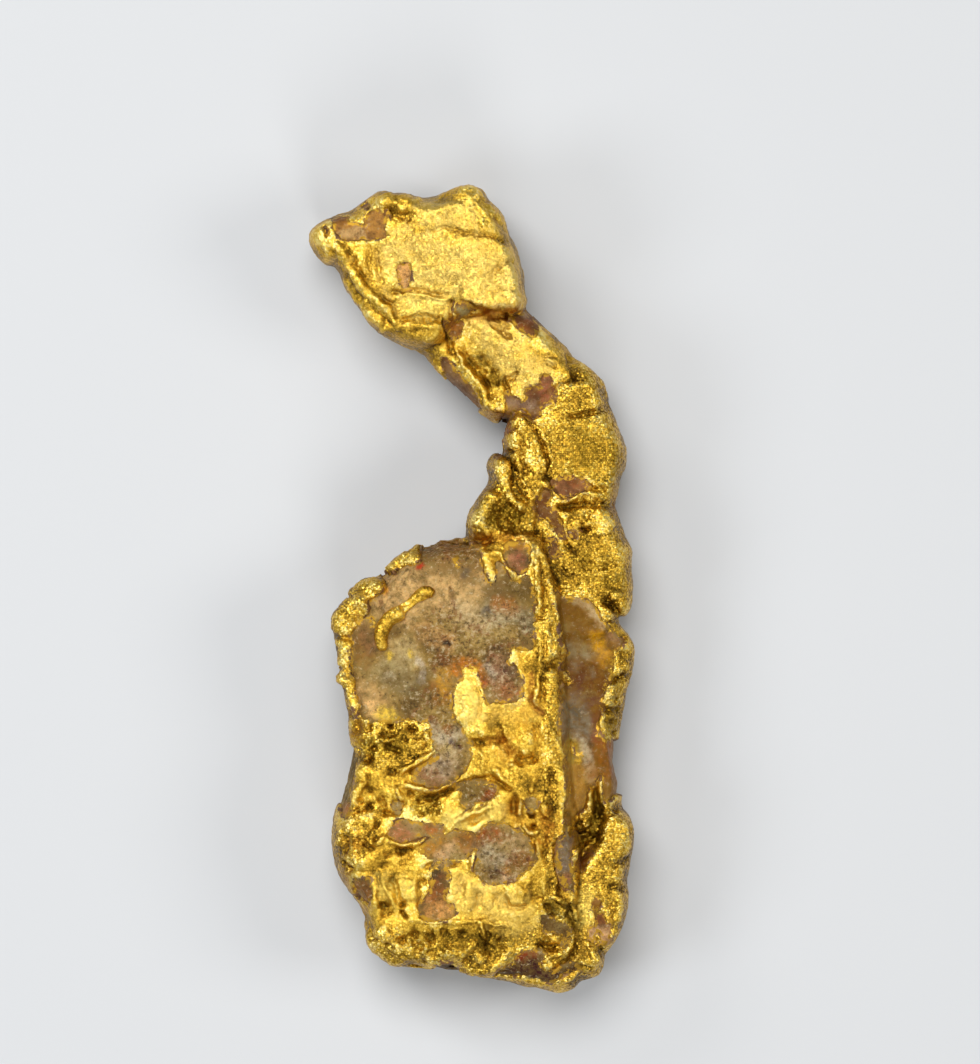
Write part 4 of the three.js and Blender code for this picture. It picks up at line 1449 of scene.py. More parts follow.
@dataclass(frozen=True)
class Quartz:
    """Massive quartz, broken, stained by iron and clay: a clouded stone that light enters a little way."""

    name: str
    stops: tuple  # its colours from the darkest cloud to the palest
    cloud_mm: float
    speck: str  # the dark specks' colour
    specks: float  # and how much they cover
    gloss: float  # its lowest roughness
    within_mm: float  # how far light goes in
    break_mm: float  # how deep its broken faces are
    mottle: float  # how much lighter and darker its grains are
    speck_mm: float = 0.17
    grit_mm: float = 0.3
    blotch_mm: float = 0.4
    pit_shade: float = 0.05  # how much more the specks cover where the quartz is pitted
    grain_relief_mm: tuple[float, float] = (0.03, 0.1)  # where whole, and where pitted
    relief_strength: float = 0.6
    rust: str = "#7a4a26"
    pale: str = "#ccb88e"
    gilt: str = "#b48c30"
    gloss_level: float = 0.13
    within: float = 0.12

    def material(self) -> Finish:
        """Builds the material: clouds of colour, small dark specks, a soft, slightly uneven gloss, and
        flakes of gold near the gold that shuts it in.

        Returns:
            The quartz's material.
        """
        made, tree, place_at = new_tree(self.name)
        pitted = attribute(tree, "pits")
        cloud = noise_of(tree, place_at, self.cloud_mm, detail=7.0, roughness=0.66, distortion=0.4)
        grit = noise_of(tree, place_at, self.grit_mm, detail=4.0, roughness=0.75)
        fine = noise_of(tree, place_at, self.speck_mm, detail=3.0, roughness=0.7)
        blotch = noise_of(tree, place_at, self.blotch_mm, detail=3.0, roughness=0.7, distortion=0.5)
        # clouds of colour, stained, lighter and darker from grain to grain
        base = with_stain(tree, ramp_of(tree, cloud, self.stops), grit)
        bright = spread(tree, grit, 0.3, 0.7, 1 - self.mottle, 1 + self.mottle)
        base = add_node(tree, "VectorMath", {0: base, "Scale": bright}, operation="SCALE").outputs[0]
        # rust in the pits, dark specks, pale specks, and flakes of gold
        rust = sum_of(tree, "MULTIPLY", spread(tree, blotch, 0.54, 0.66, 0.0, 0.7), pitted)
        base = mixed(tree, rust, base, colour(self.rust))
        darker = sum_of(tree, "MULTIPLY_ADD", pitted, self.pit_shade, fine)
        dark = spread(tree, darker, 0.6, 0.69, 0.0, self.specks)
        base = mixed(tree, dark, base, colour(self.speck))
        lighter = sum_of(tree, "MULTIPLY_ADD", pitted, -self.pit_shade, fine)
        light = spread(tree, lighter, 0.42, 0.28, 0.0, 0.75 * self.specks)
        base = mixed(tree, light, base, colour(self.pale))
        flakes = torn(tree, attribute(tree, "gilt"), grit)
        base = mixed(tree, flakes, base, colour(self.gilt))
        # broken faces, and grains on them
        broken = bumped(tree, cloud, self.relief_strength, self.break_mm * MILLIMETRE)
        depth = blend(tree, pitted, self.grain_relief_mm, MILLIMETRE)
        grainy = bumped(tree, fine, self.relief_strength, depth, {"Normal": broken})
        return finished(made, {
            "Base Color": base, "Metallic": flakes,
            "Roughness": spread(tree, fine, 0.3, 0.7, self.gloss, self.gloss + 0.2), "IOR": 1.54,
            "Specular IOR Level": self.gloss_level, "Subsurface Weight": self.within,
            "Subsurface Scale": self.within_mm * MILLIMETRE, "Normal": grainy,
        })


# tan and grey, clouded by clay, with low gloss
MILKY_QUARTZ = Quartz(
    "milky_quartz",
    ((0.3, "#4a3818"), (0.42, "#6c5224"), (0.5, "#82662e"), (0.58, "#967a40"), (0.68, "#a28a50")),
    cloud_mm=1.5, speck="#3c2a18", specks=0.7, gloss=0.5, within_mm=0.3, break_mm=0.16, mottle=0.36,
)
# honey to dark brown, glossier, and clearer, so that light goes deeper
HONEY_QUARTZ = Quartz(
    "honey_quartz",
    ((0.32, "#4a2f0c"), (0.44, "#6c4a12"), (0.54, "#875f18"), (0.64, "#94793c")),
    cloud_mm=1.2, speck="#3c220e", specks=0.4, gloss=0.32, within_mm=0.8, break_mm=0.05, mottle=0.12,
)
# pinkish brown from iron, semi-matt
ROSY_QUARTZ = Quartz(
    "rosy_quartz", ROSY_STOPS,
    cloud_mm=0.7, speck="#41261a", specks=0.5, gloss=0.45, within_mm=0.3, break_mm=0.12, mottle=0.22,
)


# ------------ what is on the nugget's face ------------

HEAD_WINDOWS = outlines("""
335,221 342,217 350,219 356,226 364,227 368,215 377,212 386,217 386,230 384,240 366,241 346,240 337,233;
362,207 366,204 371,206 369,210 364,211;
324,229 328,228 330,236 326,239;
398,268 404,265 411,267 411,279 410,287 405,290 400,284;
456,308 463,307 471,314 466,318 458,318;
448,324 456,321 464,322 462,332 457,339 451,332;
512,320 519,316 526,312 536,321 539,331 533,338 524,335 517,328;
""")
NECK_WINDOWS = outlines("""
541,377 549,376 552,386 551,402 544,404 540,409 539,417 533,419 528,415 521,410 514,412 509,419 509,432
    505,440 503,452 498,458 499,440 499,424 505,412 506,400 509,395 515,398 520,404 524,402 526,390 534,388
    540,387;
441,361 450,361 457,371 466,380 473,387 477,399 480,410 470,408 456,394 447,381;
""")
COLUMN_WINDOWS = outlines("""
552,488 558,481 570,480 583,480 586,486 579,492 570,497 562,498 555,494;
539,495 547,490 553,496 549,503 551,511 557,517 561,527 563,535 557,535 552,526 546,518 539,518 535,508;
549,542 555,540 558,549 555,557 550,552;
566,532 572,531 578,536 572,538;
""")
HEEL_WINDOWS = outlines("""
594,895 598,894 599,903 597,910 594,908;
595,912 601,911 605,919 610,924 608,932 606,940 599,938 594,940 588,936 588,928 595,922;
561,838 571,834 575,842 571,851 569,861 571,873 573,887 566,885 560,870 558,854;
577,861 583,855 589,850 592,854 586,862 582,871 578,868;
""")
BODY_WINDOWS = outlines("""
# the broad face
380,570 392,573 401,567 412,565 421,559 421,549 428,540 440,534 456,536 470,544 479,545 481,556 483,569
    488,580 495,582 497,571 497,561 502,562 507,573 512,580 519,581 524,577 529,578 532,590 533,604 532,616
    533,628 534,640 531,648 522,649 514,645 509,650 509,662 516,667 520,676 521,690 518,699 500,700 486,701
    484,690 481,680 479,669 470,665 462,667 463,676 456,683 452,694 453,706 458,722 463,725 465,735 470,746
    470,757 466,768 458,777 446,783 434,787 422,783 415,775 420,766 431,760 440,752 434,744 431,733 430,722
    420,720 408,717 396,719 378,719 362,716 360,704 357,688 353,672 352,655 353,640 355,630 366,618 371,609
    369,602 378,597 386,588 383,577;
# between the two drips
504,549 514,544 528,545 529,558 526,569 519,573 511,567 505,559;
# lower windows
460,786 470,782 484,782 497,785 495,794 484,799 474,803 464,806 460,798;
391,829 396,821 404,817 418,820 430,823 439,822 443,829 434,834 424,834 414,838 402,840 394,836;
421,847 424,840 434,836 446,833 456,828 466,829 476,831 484,823 496,821 508,822 518,828 525,836 530,846
    533,856 528,865 522,872 514,877 500,881 487,881 478,874 475,862 477,850 474,845 470,853 460,857 446,858
    432,856;
432,869 440,867 448,867 449,878 446,890 446,901 455,903 455,911 444,916 434,918 425,918 420,910 421,899
    427,892 433,886;
353,879 362,877 372,875 373,889 370,901 361,898 355,890;
393,801 401,800 402,807 394,808;
525,797 532,795 536,800 535,806 527,805;
# the foot
543,914 552,918 561,920 567,926 569,936 566,944 562,939 560,932 551,930 543,930;
514,955 521,950 534,948 543,952 539,959 542,967 553,970 563,966 573,962 578,969 566,971 556,978 546,980
    533,976 520,973 504,976 494,974 503,967 512,963;
436,963 448,960 458,963 460,972 448,978 436,972;
# the left side
345,744 354,746 358,757 358,770 353,783 351,798 352,808 346,816 338,806 338,780;
350,706 356,706 358,713 354,717 350,713;
""")
HONEY_WINDOW = points("""
554,592 562,598 573,599 586,602 596,608 600,619 607,629 616,634 625,637 622,644 614,648 612,658 609,672
606,685 602,697 600,712 597,726 597,735 606,739 620,741 626,760 628,780 626,793 615,797 606,801 602,793
601,776 597,771 594,782 588,788 584,800 581,809 573,816 567,823 563,824 563,800 564,770 563,745 560,733
559,718 561,700 560,686 566,683 571,680 567,672 560,667 565,656 566,648 560,643 557,628 555,610
""")
# gold that lies on the quartz
GOLD_PATCHES = outlines("""
457,566 456,561 459,558 461,562 460,567;
372,616 375,618 377,625 374,626;
349,221 356,219 360,213 366,216 364,224 356,226;
566,790 570,783 571,793 567,797;
594,932 600,930 601,937 597,939;
566,743 572,740 576,748 571,754;
574,752 581,753 579,760 574,759;
""")
# quartz broken into small grains, with pits and rust between them
PITTED_QUARTZ = outlines("""
428,612 450,600 475,610 500,598 530,612 532,640 512,650 512,664 520,690 500,698 484,694 478,672 455,664
    440,680 425,650;
400,690 425,684 450,690 452,710 462,732 458,760 440,780 420,770 432,740 410,716;
425,536 470,538 480,560 455,566 432,556;
462,784 494,782 490,800 466,802;
478,826 500,822 530,850 520,878 484,880 476,850;
""")
SPONGE = outlines("""
548,400 560,372 600,365 640,420 645,480 630,500 600,495 560,478 544,440;
500,425 520,408 546,450 546,480 538,520 520,545 455,545 455,510 485,450;
555,505 640,498 650,560 645,625 600,624 570,600 545,590 538,530;
484,392 504,392 508,420 488,424;
532,600 556,600 562,680 560,760 562,900 552,920 540,860 540,720;
352,716 430,718 436,750 410,770 352,764;
410,796 440,792 442,815 415,816;
325,590 352,575 380,566 415,538 432,540 428,560 400,576 388,596 372,604 366,625 352,640 360,700 350,760
    325,680;
325,805 380,800 376,840 345,880 320,850;
370,925 520,925 536,895 580,895 590,930 604,975 560,1000 500,990 440,980 362,962;
582,805 645,812 645,900 620,965 590,985 575,880;
606,645 645,640 640,750 596,738 604,690;
418,872 432,870 434,890 420,892;
""")

HEAD_RELIEF = strokes("""
# the nose
fold .5 .096 322,238 327,244
crease .07 .08 320,246 326,258
crease .07 .08 328,243 335,256
crease .1 .104 327,217 336,219 345,223
# the crown, left
rope .26 .128 360,208 372,200 385,194 397,195
rope .24 .144 376,208 388,203 400,199 415,201
knob .32 .08 405,204
crease .18 .16 384,210 392,216 402,219 414,222
rope .14 .096 402,216 412,208 421,199
# the crown, right
rope .26 .16 428,203 436,197 446,194 460,190 475,191 485,198 495,211 505,226 512,241
crease .12 .08 429,206 445,204 458,202 471,199 482,207 492,221 500,234
rope .12 .08 478,205 488,217 497,230
rope .12 .08 470,207 480,221 488,233
panel .1 .03 424,208 455,207 468,212 476,226 474,234 450,230 428,232
crease .06 .09 422,234 434,232 448,231 460,235 474,236
crease .07 .12 468,233 480,237 492,238 502,243 513,247
pit .1 .14 502,243
# the broad face
fold .4 .06 397,246 405,262 397,282
fold .3 .04 465,250 478,268 484,290
crease .12 .03 412,244 424,268 434,290
crease .12 .02 448,246 462,268 470,292
crease .07 .112 371,243 370,262 372,288
crease .09 .128 377,245 377,262 382,284
panel .07 .056 350,246 367,245 366,272 358,262
crease .08 .128 347,249 355,265 364,279 373,291
crease .08 .12 492,286 494,275 500,268 508,263 517,266
fold .24 .08 510,274 512,292
pit .07 .096 488,288 511,290 421,262 440,276
# the lip across the face and the panel under it
crease .08 .112 384,292 400,293 420,292 436,296 452,297
rope .12 .096 392,299 405,297 420,297 436,300 450,302
crease .06 .096 448,304 443,315
crease .08 .16 452,299 452,321
panel .1 .064 400,302 444,303 448,318 420,316 402,318
# the rolled rims at the lower left
rope .22 .176 334,242 345,258 352,272 361,284 369,295
rope .2 .16 343,272 350,290 361,305 372,318 382,328 397,335
rope .2 .192 366,296 377,299 387,309 394,318 400,327
crease .08 .176 380,295 391,307 398,320
crease .09 .16 356,292 368,307 380,318 392,328
crease .09 .12 341,262 348,274 356,285
rope .18 .112 398,327 410,328 424,326 440,326
crease .08 .128 401,322 415,319 430,318 443,321
panel .1 .064 418,328 438,326 447,340 440,346 424,340
crease .12 .24 440,319 447,331 450,344 453,358
# the undercut at the lower right
ledge .5 .208 454,303 470,304 486,309 503,312 518,311 527,306
crease .13 .24 458,305 480,310 498,316 522,316
pit .1 .12 466,306 478,309 507,314
""")
NECK_RELIEF = strokes("""
fold .5 .14 480,325 508,345 532,375
crease .09 .16 490,324 502,332 511,340
crease .08 .1 484,318 500,322 512,330
pit .12 .14 509,338 503,328
# the dark valley
crease .3 .16 476,354 485,366 494,378 498,390
crease .09 .12 470,356 480,372 490,390
pit .08 .14 480,360 487,366 484,374 493,374 496,383 490,381
# the strands along the inner bend
rope .16 .26 454,350 462,361 470,373 479,384 486,396 493,410
crease .08 .2 461,350 470,363 478,375 487,387 491,396
rope .1 .14 456,362 465,375 474,386 480,397 485,408
rope .12 .12 428,356 436,365 443,373 451,383 458,390
fold .3 .14 496,406 500,410
crease .08 .24 503,379 507,388 505,398
crease .07 .15 504,379 512,378 519,372
panel .08 .06 512,382 520,384 524,400 518,400 512,392
# the shoulder
crease .11 .22 567,352 570,362 573,372 575,381
fold .3 .12 583,368 591,385 596,402
crease .1 .18 566,417 580,416 595,412 609,406
crease .06 .1 543,357 556,358
crease .06 .1 544,362 557,368
rope .12 .1 600,376 606,390 608,402
""")
COLUMN_RELIEF = strokes("""
crease .09 .32 524,413 532,424 538,434 543,444 546,455 548,464 547,477
knob .36 .12 520,424
knob .42 .14 513,440
crease .08 .14 507,434 515,429 521,418
crease .08 .14 507,453 520,450
crease .08 .16 521,440 522,462 525,479
fold .24 .1 531,448 536,470
# the lower knob: its ridge, the hollow beside it and its dark underside
rope .22 .3 501,457 503,472 506,486 509,497 517,504 528,510
crease .15 .12 511,462 517,478 523,490 531,500
rope .1 .12 520,480 527,489 534,497
crease .3 .28 499,508 508,517 520,522
fold .32 .3 493,497 485,510 481,521 486,530
crease .16 .08 470,541 485,541 505,541 528,540
pit .1 .15 516,531 500,524 508,519
knob .2 .22 546,485
crease .08 .16 540,478 550,480 554,486
pit .16 .26 587,487
pit .1 .12 594,489 604,489 572,478 567,476
fold .16 .1 590,482 600,484 612,480
# the ledge and the plates under it
rope .13 .14 552,501 560,503 570,499 580,494 590,493 602,497
crease .12 .28 553,511 565,507 580,504 595,504 613,506
panel .06 .09 558,513 566,511 574,516 572,522 566,531 561,528 557,518
panel .06 .12 587,519 593,513 604,512 609,518 611,529 600,536 590,533 585,526
panel .06 .07 573,521 579,518 583,522 581,532 572,530
pit .07 .26 581,523
crease .09 .36 578,530 583,528 590,529
crease .07 .18 556,516 561,528 564,539 570,549 578,557
crease .06 .12 572,516 566,530
knob .14 .1 548,547 541,534 547,526
crease .08 .16 543,538 551,542
crease .14 .12 578,562 590,567 605,566 620,564
crease .1 .1 556,560 562,570 574,576
fold .3 .08 568,585 590,592
ledge .3 .14 618,600 605,585 602,560
# the notch above the seam
knob .24 .14 614,594
crease .13 .34 602,601 610,605 619,613
knob .34 .14 604,612
fold .3 .12 626,604
pit .12 .15 608,624 621,618
crease .1 .16 606,628 618,632 627,634
""")
VEIN_RELIEF = strokes("""
fold .36 .1 535,552 541,590 546,620 547,650
rope .1 .16 529,545 532,557 535,570 537,584 538,598 538,613
crease .07 .18 540,562 543,580 544,598 543,612 541,618
crease .06 .12 531,560 534,575 534,595 535,612
rope .11 .14 535,546 541,560 546,576 550,592 554,606 557,622 557,642
rope .1 .1 531,625 536,621 542,620
crease .06 .14 532,620 538,617 541,619
crease .05 .1 544,624 545,640 545,658
crease .05 .1 551,622 552,640 551,656
rope .09 .14 539,638 540,650 540,662 539,670
crease .14 .2 544,667 551,664 558,658
rope .1 .14 537,672 537,686 535,700 537,708
crease .05 .12 530,690 531,702 536,710 546,710
crease .06 .12 542,672 542,688 541,704
fold .26 .14 552,674 553,690 554,706
knob .11 .1 564,675 568,678 559,684 558,706
# the band below, with its grooves and its bright right edge
rope .1 .14 546,712 548,722 552,734 557,745 560,760
pit .09 .26 557,731
rope .13 .1 541,716 544,728 546,740
crease .12 .14 536,718 535,730 537,745 538,756
rope .08 .12 560,762 561,785 562,805 561,822 558,838
rope .1 .1 542,758 545,775 547,790
crease .08 .1 551,762 552,790 551,812
crease .07 .1 555,800 554,815 550,826
rope .12 .18 540,797 544,806 547,817
rope .13 .18 538,838 538,846 540,853
crease .08 .14 545,832 546,846 544,856 550,862
rope .09 .1 556,842 553,856 554,868 558,884
rope .1 .1 545,866 542,878 545,890
crease .07 .1 549,872 551,886 556,896
# the crevice between the gold and the honey-coloured quartz
crease .08 .2 563,690 562,712 560,724 564,742 565,770 565,800 564,826
crease .12 .28 560,834 556,846 556,862 558,878 564,892
# gold stubs in the seam
rope .12 .12 558,642 562,649 565,656
""")
BODY_RELIEF = strokes("""
# drips from the knob
rope .24 .189 480,545 486,556 489,566 491,579
rope .14 .113 490,555 498,552 505,552
rope .16 .189 500,554 504,563 510,571 517,577
rope .1 .113 523,577 528,571
# left rims
fold .22 .283 390,572 397,565 406,560 414,557 419,552
fold .28 .401 360,596 366,590 374,587 381,591
fold .34 .496 344,626 347,617 354,610 364,606
crease .1 .236 346,604 354,601 363,600
fold .22 .307 345,640 347,652 348,664 351,678
fold .2 .283 351,676 353,688 356,700 358,710
rope .24 .189 353,716 355,730 358,742 364,752
crease .08 .132 336,634 346,636 354,638
crease .07 .113 340,664 352,667
pit .1 .113 342,648 350,658 347,690 354,682
# plates on the quartz
fold .16 .071 513,648 513,660
crease .14 .059 519,648 521,660
crease .16 .094 521,668 528,668 536,670
panel .06 .094 466,660 472,655 479,656 481,668 474,666 466,664
crease .06 .059 523,672 526,685 526,700
fold .3 .113 462,690 468,706 464,716
crease .06 .094 478,684 480,700 479,716
ledge .16 .094 519,700 500,701 485,702
# the smooth plate and the folds under it
fold .2 .113 478,728 485,733
crease .16 .189 466,738 480,741 494,738 508,742
crease .2 .132 490,722 500,732 507,748
rope .14 .113 502,722 504,732 506,741
fold .2 .151 530,733 525,744 524,752
crease .16 .264 512,758 524,757 538,756
crease .14 .132 507,744 511,754
rope .13 .094 478,748 484,758 482,768
rope .11 .113 495,764 500,774 510,782
knob .12 .113 510,763 518,765
crease .12 .227 466,780 478,777 490,776 502,783 512,788
fold .24 .076 520,768 530,772
rope .12 .17 535,773 533,783 531,791
# the dark pitted corner
pit .16 .227 370,727 391,722 374,746 371,756 391,746 399,750 414,728
pit .1 .151 406,737 418,736 383,731 362,748 425,744
rope .13 .113 376,735 388,739 402,733
knob .2 .132 363,736 404,724 428,734
crease .1 .151 356,744 362,756 374,761
crease .08 .113 376,736 390,732 402,736
# the ledge under it
rope .16 .227 436,747 427,754 416,760 406,768 396,768
crease .11 .227 438,753 428,762 416,768 408,775
fold .3 .113 362,770 378,772
fold .26 .132 384,786 396,792
pit .15 .189 392,770 371,788 381,798 371,803 411,793
pit .11 .151 370,774 362,800 404,801 385,803 414,771
rope .15 .227 356,806 358,796 362,786 367,778
rope .15 .208 400,785 412,784 424,787 436,788 447,784 458,779 470,775
crease .12 .321 420,797 434,795 446,789 458,783 474,781
pit .11 .151 420,800 434,802 428,808 438,810 422,812
crease .08 .264 381,810 391,812 403,811
rope .12 .132 398,786 400,794 403,798
# the bright folds in the middle
fold .3 .132 447,812 458,820 450,822
rope .15 .189 458,820 466,813 475,809 486,806 494,800
panel .07 .094 487,806 500,800 504,810 501,818 490,819
crease .1 .151 470,821 480,815 486,812
crease .1 .151 513,790 513,802 514,812
# the ring with its pits
rope .15 .227 523,796 519,804 520,814
rope .14 .189 522,820 526,827 533,831 538,824
pit .14 .378 531,811
pit .1 .34 534,824
crease .12 .151 526,834 534,840 532,852
# the lower left
panel .1 .132 347,824 358,813 370,809 377,812 376,824 366,834 352,838
crease .1 .189 352,812 360,808 372,806
rope .11 .151 344,826 343,836 341,846
crease .1 .17 349,832 348,846 346,852
pit .12 .17 377,836 367,842 372,846 378,823
rope .13 .208 374,843 381,838 388,831
rope .14 .189 388,836 398,841 410,843 421,840 430,834
crease .12 .208 394,848 404,848 414,848
pit .12 .151 352,866 346,860 388,852 402,852 410,854
fold .24 .113 350,855 364,858 376,852
crease .08 .132 358,872 368,870 378,868
# the upright folds and their pits
rope .16 .151 376,874 376,890 377,908
rope .14 .113 384,868 386,882 392,894 398,908
crease .08 .189 397,876 398,890 399,902
pit .2 .227 385,904
pit .1 .17 390,912 384,912 394,878 391,884
panel .08 .094 401,878 417,880 417,896 402,896
pit .1 .283 403,902 404,909 406,914
panel .08 .076 406,906 417,904 418,916 408,918
crease .09 .245 418,878 419,893 419,908
pit .12 .132 424,880 430,878 385,862 403,860
crease .08 .17 424,866 436,862 450,862 464,861
rope .14 .151 474,847 473,858 473,870
crease .1 .132 462,870 460,884 459,894
panel .1 .113 505,885 516,881 524,886 523,898 512,902 505,895
crease .08 .17 505,892 510,902 518,905 527,902
fold .2 .076 490,900 500,910 514,914
crease .1 .113 536,872 532,888 538,902
pit .1 .132 544,903 540,896
fold .2 .1 470,884 468,904
crease .1 .1 480,886 478,906
crease .09 .09 497,890 494,908
# the foot's upper edge, its dark face and its rim
knob .4 .189 384,931
crease .1 .321 364,911 368,922 373,932 381,941 392,946
rope .2 .113 367,926 370,938 378,949 390,957 404,962
crease .3 .059 398,944 414,937 436,936 462,938 492,939 518,946
fold .3 .142 398,956 414,956 430,959 450,962 470,966 492,967
crease .12 .151 412,928 416,940 426,948
crease .12 .151 444,924 446,938 440,950
crease .12 .151 504,926 502,940 508,950
knob .22 .132 428,944 472,944 482,954
rope .12 .113 408,922 424,917 440,917 460,919 480,918 500,922 518,925
crease .14 .189 396,942 410,934 420,929
rope .12 .34 480,920 482,928 485,937
fold .34 .283 450,949 460,948
fold .2 .189 494,962 502,957 508,950
rope .16 .118 466,965 476,967 487,966
pit .16 .151 418,948 424,956 432,950 464,932 490,946 470,956 430,934
crease .1 .132 430,924 434,936 430,946
crease .09 .132 486,922 488,936 486,950
# the curl at the lower right
rope .15 .227 551,892 560,898 566,905 564,912
pit .24 .189 570,906
pit .14 .227 547,906 553,914
crease .12 .189 564,900 570,912 575,925 576,937 574,949 567,959 556,967 545,969
rope .13 .094 568,919 574,927 575,937 570,948 562,955
knob .2 .189 554,935
knob .14 .132 542,935 560,934
crease .13 .264 536,943 550,947 562,944
knob .26 .151 547,963
rope .12 .151 543,956 554,953 564,948
rope .13 .151 562,980 569,976 576,971
rope .12 .094 508,978 520,976 534,981 548,985
""")
HEEL_RELIEF = strokes("""
crease .14 .3 566,831 574,834 583,834 591,836
rope .14 .2 569,857 575,849 584,843
crease .12 .18 574,868 581,856 590,844 598,832
knob .2 .2 580,814 589,810 585,823
pit .1 .15 586,812 576,824
rope .15 .22 589,789 590,798 586,807
rope .12 .2 599,772 601,784 602,796
crease .11 .3 594,780 594,792 597,806 596,820
rope .13 .16 602,813 609,805
crease .1 .16 606,814 616,808 622,802
fold .5 .08 598,868 596,884
fold .16 .1 624,822 627,838 626,850
crease .13 .14 628,856 618,862 610,864
crease .1 .14 606,884 618,884 624,890
fold .14 .08 618,890 618,904 620,918
crease .1 .12 610,898 613,910 611,922
knob .16 .14 608,932 614,930
rope .2 .22 590,942 592,952 598,958
fold .24 .14 580,956 592,962
crease .11 .24 600,940 602,952 606,956
crease .1 .18 574,966 584,964 592,966
# the right rim beside the honey-coloured quartz
fold .2 .12 625,640 628,652
knob .24 .14 624,666
crease .13 .28 606,680 616,679 626,677
crease .09 .14 620,653 628,654
fold .2 .12 608,692 612,704
crease .12 .24 600,707 612,710 622,708
pit .09 .14 611,662 609,690 614,700 606,720 614,732
rope .12 .14 602,712 600,724 604,734
pit .12 .16 612,722 618,714
""")
QUARTZ_RELIEF = strokes("""
crease .05 .12 447,583 453,596 455,611
crease .05 .14 382,594 383,604 386,613
pit .1 .2 446,643 452,739 458,744
pit .06 .1 501,646 505,669 513,679 465,571 386,591 435,689
crease .07 .1 440,659 447,656 452,663
crease .06 .08 472,612 484,621
ledge .4 .1 470,650 450,640 430,642 415,655
fold .5 .08 410,580 430,610
ledge .5 .1 392,680 400,700 396,716
crease .06 .1 499,847 506,848
pit .16 .14 492,872 498,872
ledge .3 .1 503,826 506,838 502,848
ledge .3 .1 580,660 592,664 604,672
ledge .24 .12 560,598 573,604 588,616 600,630 606,645 612,656
pit .08 .12 585,759
crease .06 .08 586,742 589,756
""")

# amber, where iron stains the gold, and amber as painted shade under the head's lip
# olive: the spongy gold's own tone, and darker olive as painted shade in hollows, creases and on the foot's
# downward face
# painted highlight on the heel's bright face
# painted highlight: paler gold on the smooth faces that catch the light
# painted shade under the lip across the head's lower right
GOLD_STAINS_AND_PAINTED_LIGHT = stains("""
# pale, smooth faces
#d8b85e 1.3 .75 405,262 450,268 495,278
#dcbe64 .6 .6 430,215 465,218
#f3d873 .5 .45 410,308 445,308
#e2c266 .8 .6 485,335 515,360 532,376
#cda546 .5 .6 490,710 508,708 524,710
#f3d873 .6 .5 465,690 470,710
#efce6a .8 .5 455,888 485,895 515,912
#f3d873 .5 .5 494,808 455,816
#f0d264 .5 .5 390,885 410,890
# amber, where iron stains the gold
#a8741c .24 .4 458,342 464,350
#9a5a16 .3 .7 475,312 495,316 520,314
#a8661c .28 .6 490,418 500,418
#a86a1c .26 .6 475,538 500,537 525,538
#b8841e .34 .35 525,712 523,728
#a0641a .4 .55 500,740 510,752
#b87f1e .3 .55 360,722 358,735
#a8701c .34 .5 514,800 516,818 530,838 534,856
#a0641a .36 .5 545,815 548,835
#a06a1c .36 .5 352,845 358,838
#8a5a1a .4 .5 345,872 352,892 362,908
#6e4f18 .34 .6 572,930 577,945 572,960
#8a5020 .14 .7 530,675 531,700 540,709
#8f5a20 .2 .6 480,468 486,478 482,490
#8a5a28 .2 .5 614,486 616,500 614,512
# olive, on the spongy and the shaded gold
#8a6c1a .9 .45 585,440 605,470 585,460
#7d6218 .6 .55 490,515 515,522
#7c6018 .6 .35 415,945 460,935 505,940
#7d6218 .5 .5 375,745 400,745
#7d6218 .4 .5 420,802 435,806
#6a5216 .34 .6 480,358 487,368 495,382
#8f701c .6 .35 590,560 610,580
#5c4614 .34 .65 552,904 568,908 574,922
#6e5616 .34 .75 598,800 597,818 593,832 586,842
#f0d264 .5 .4 583,895 588,915
#8a6a1c .3 .5 613,682 612,708 610,732
""")

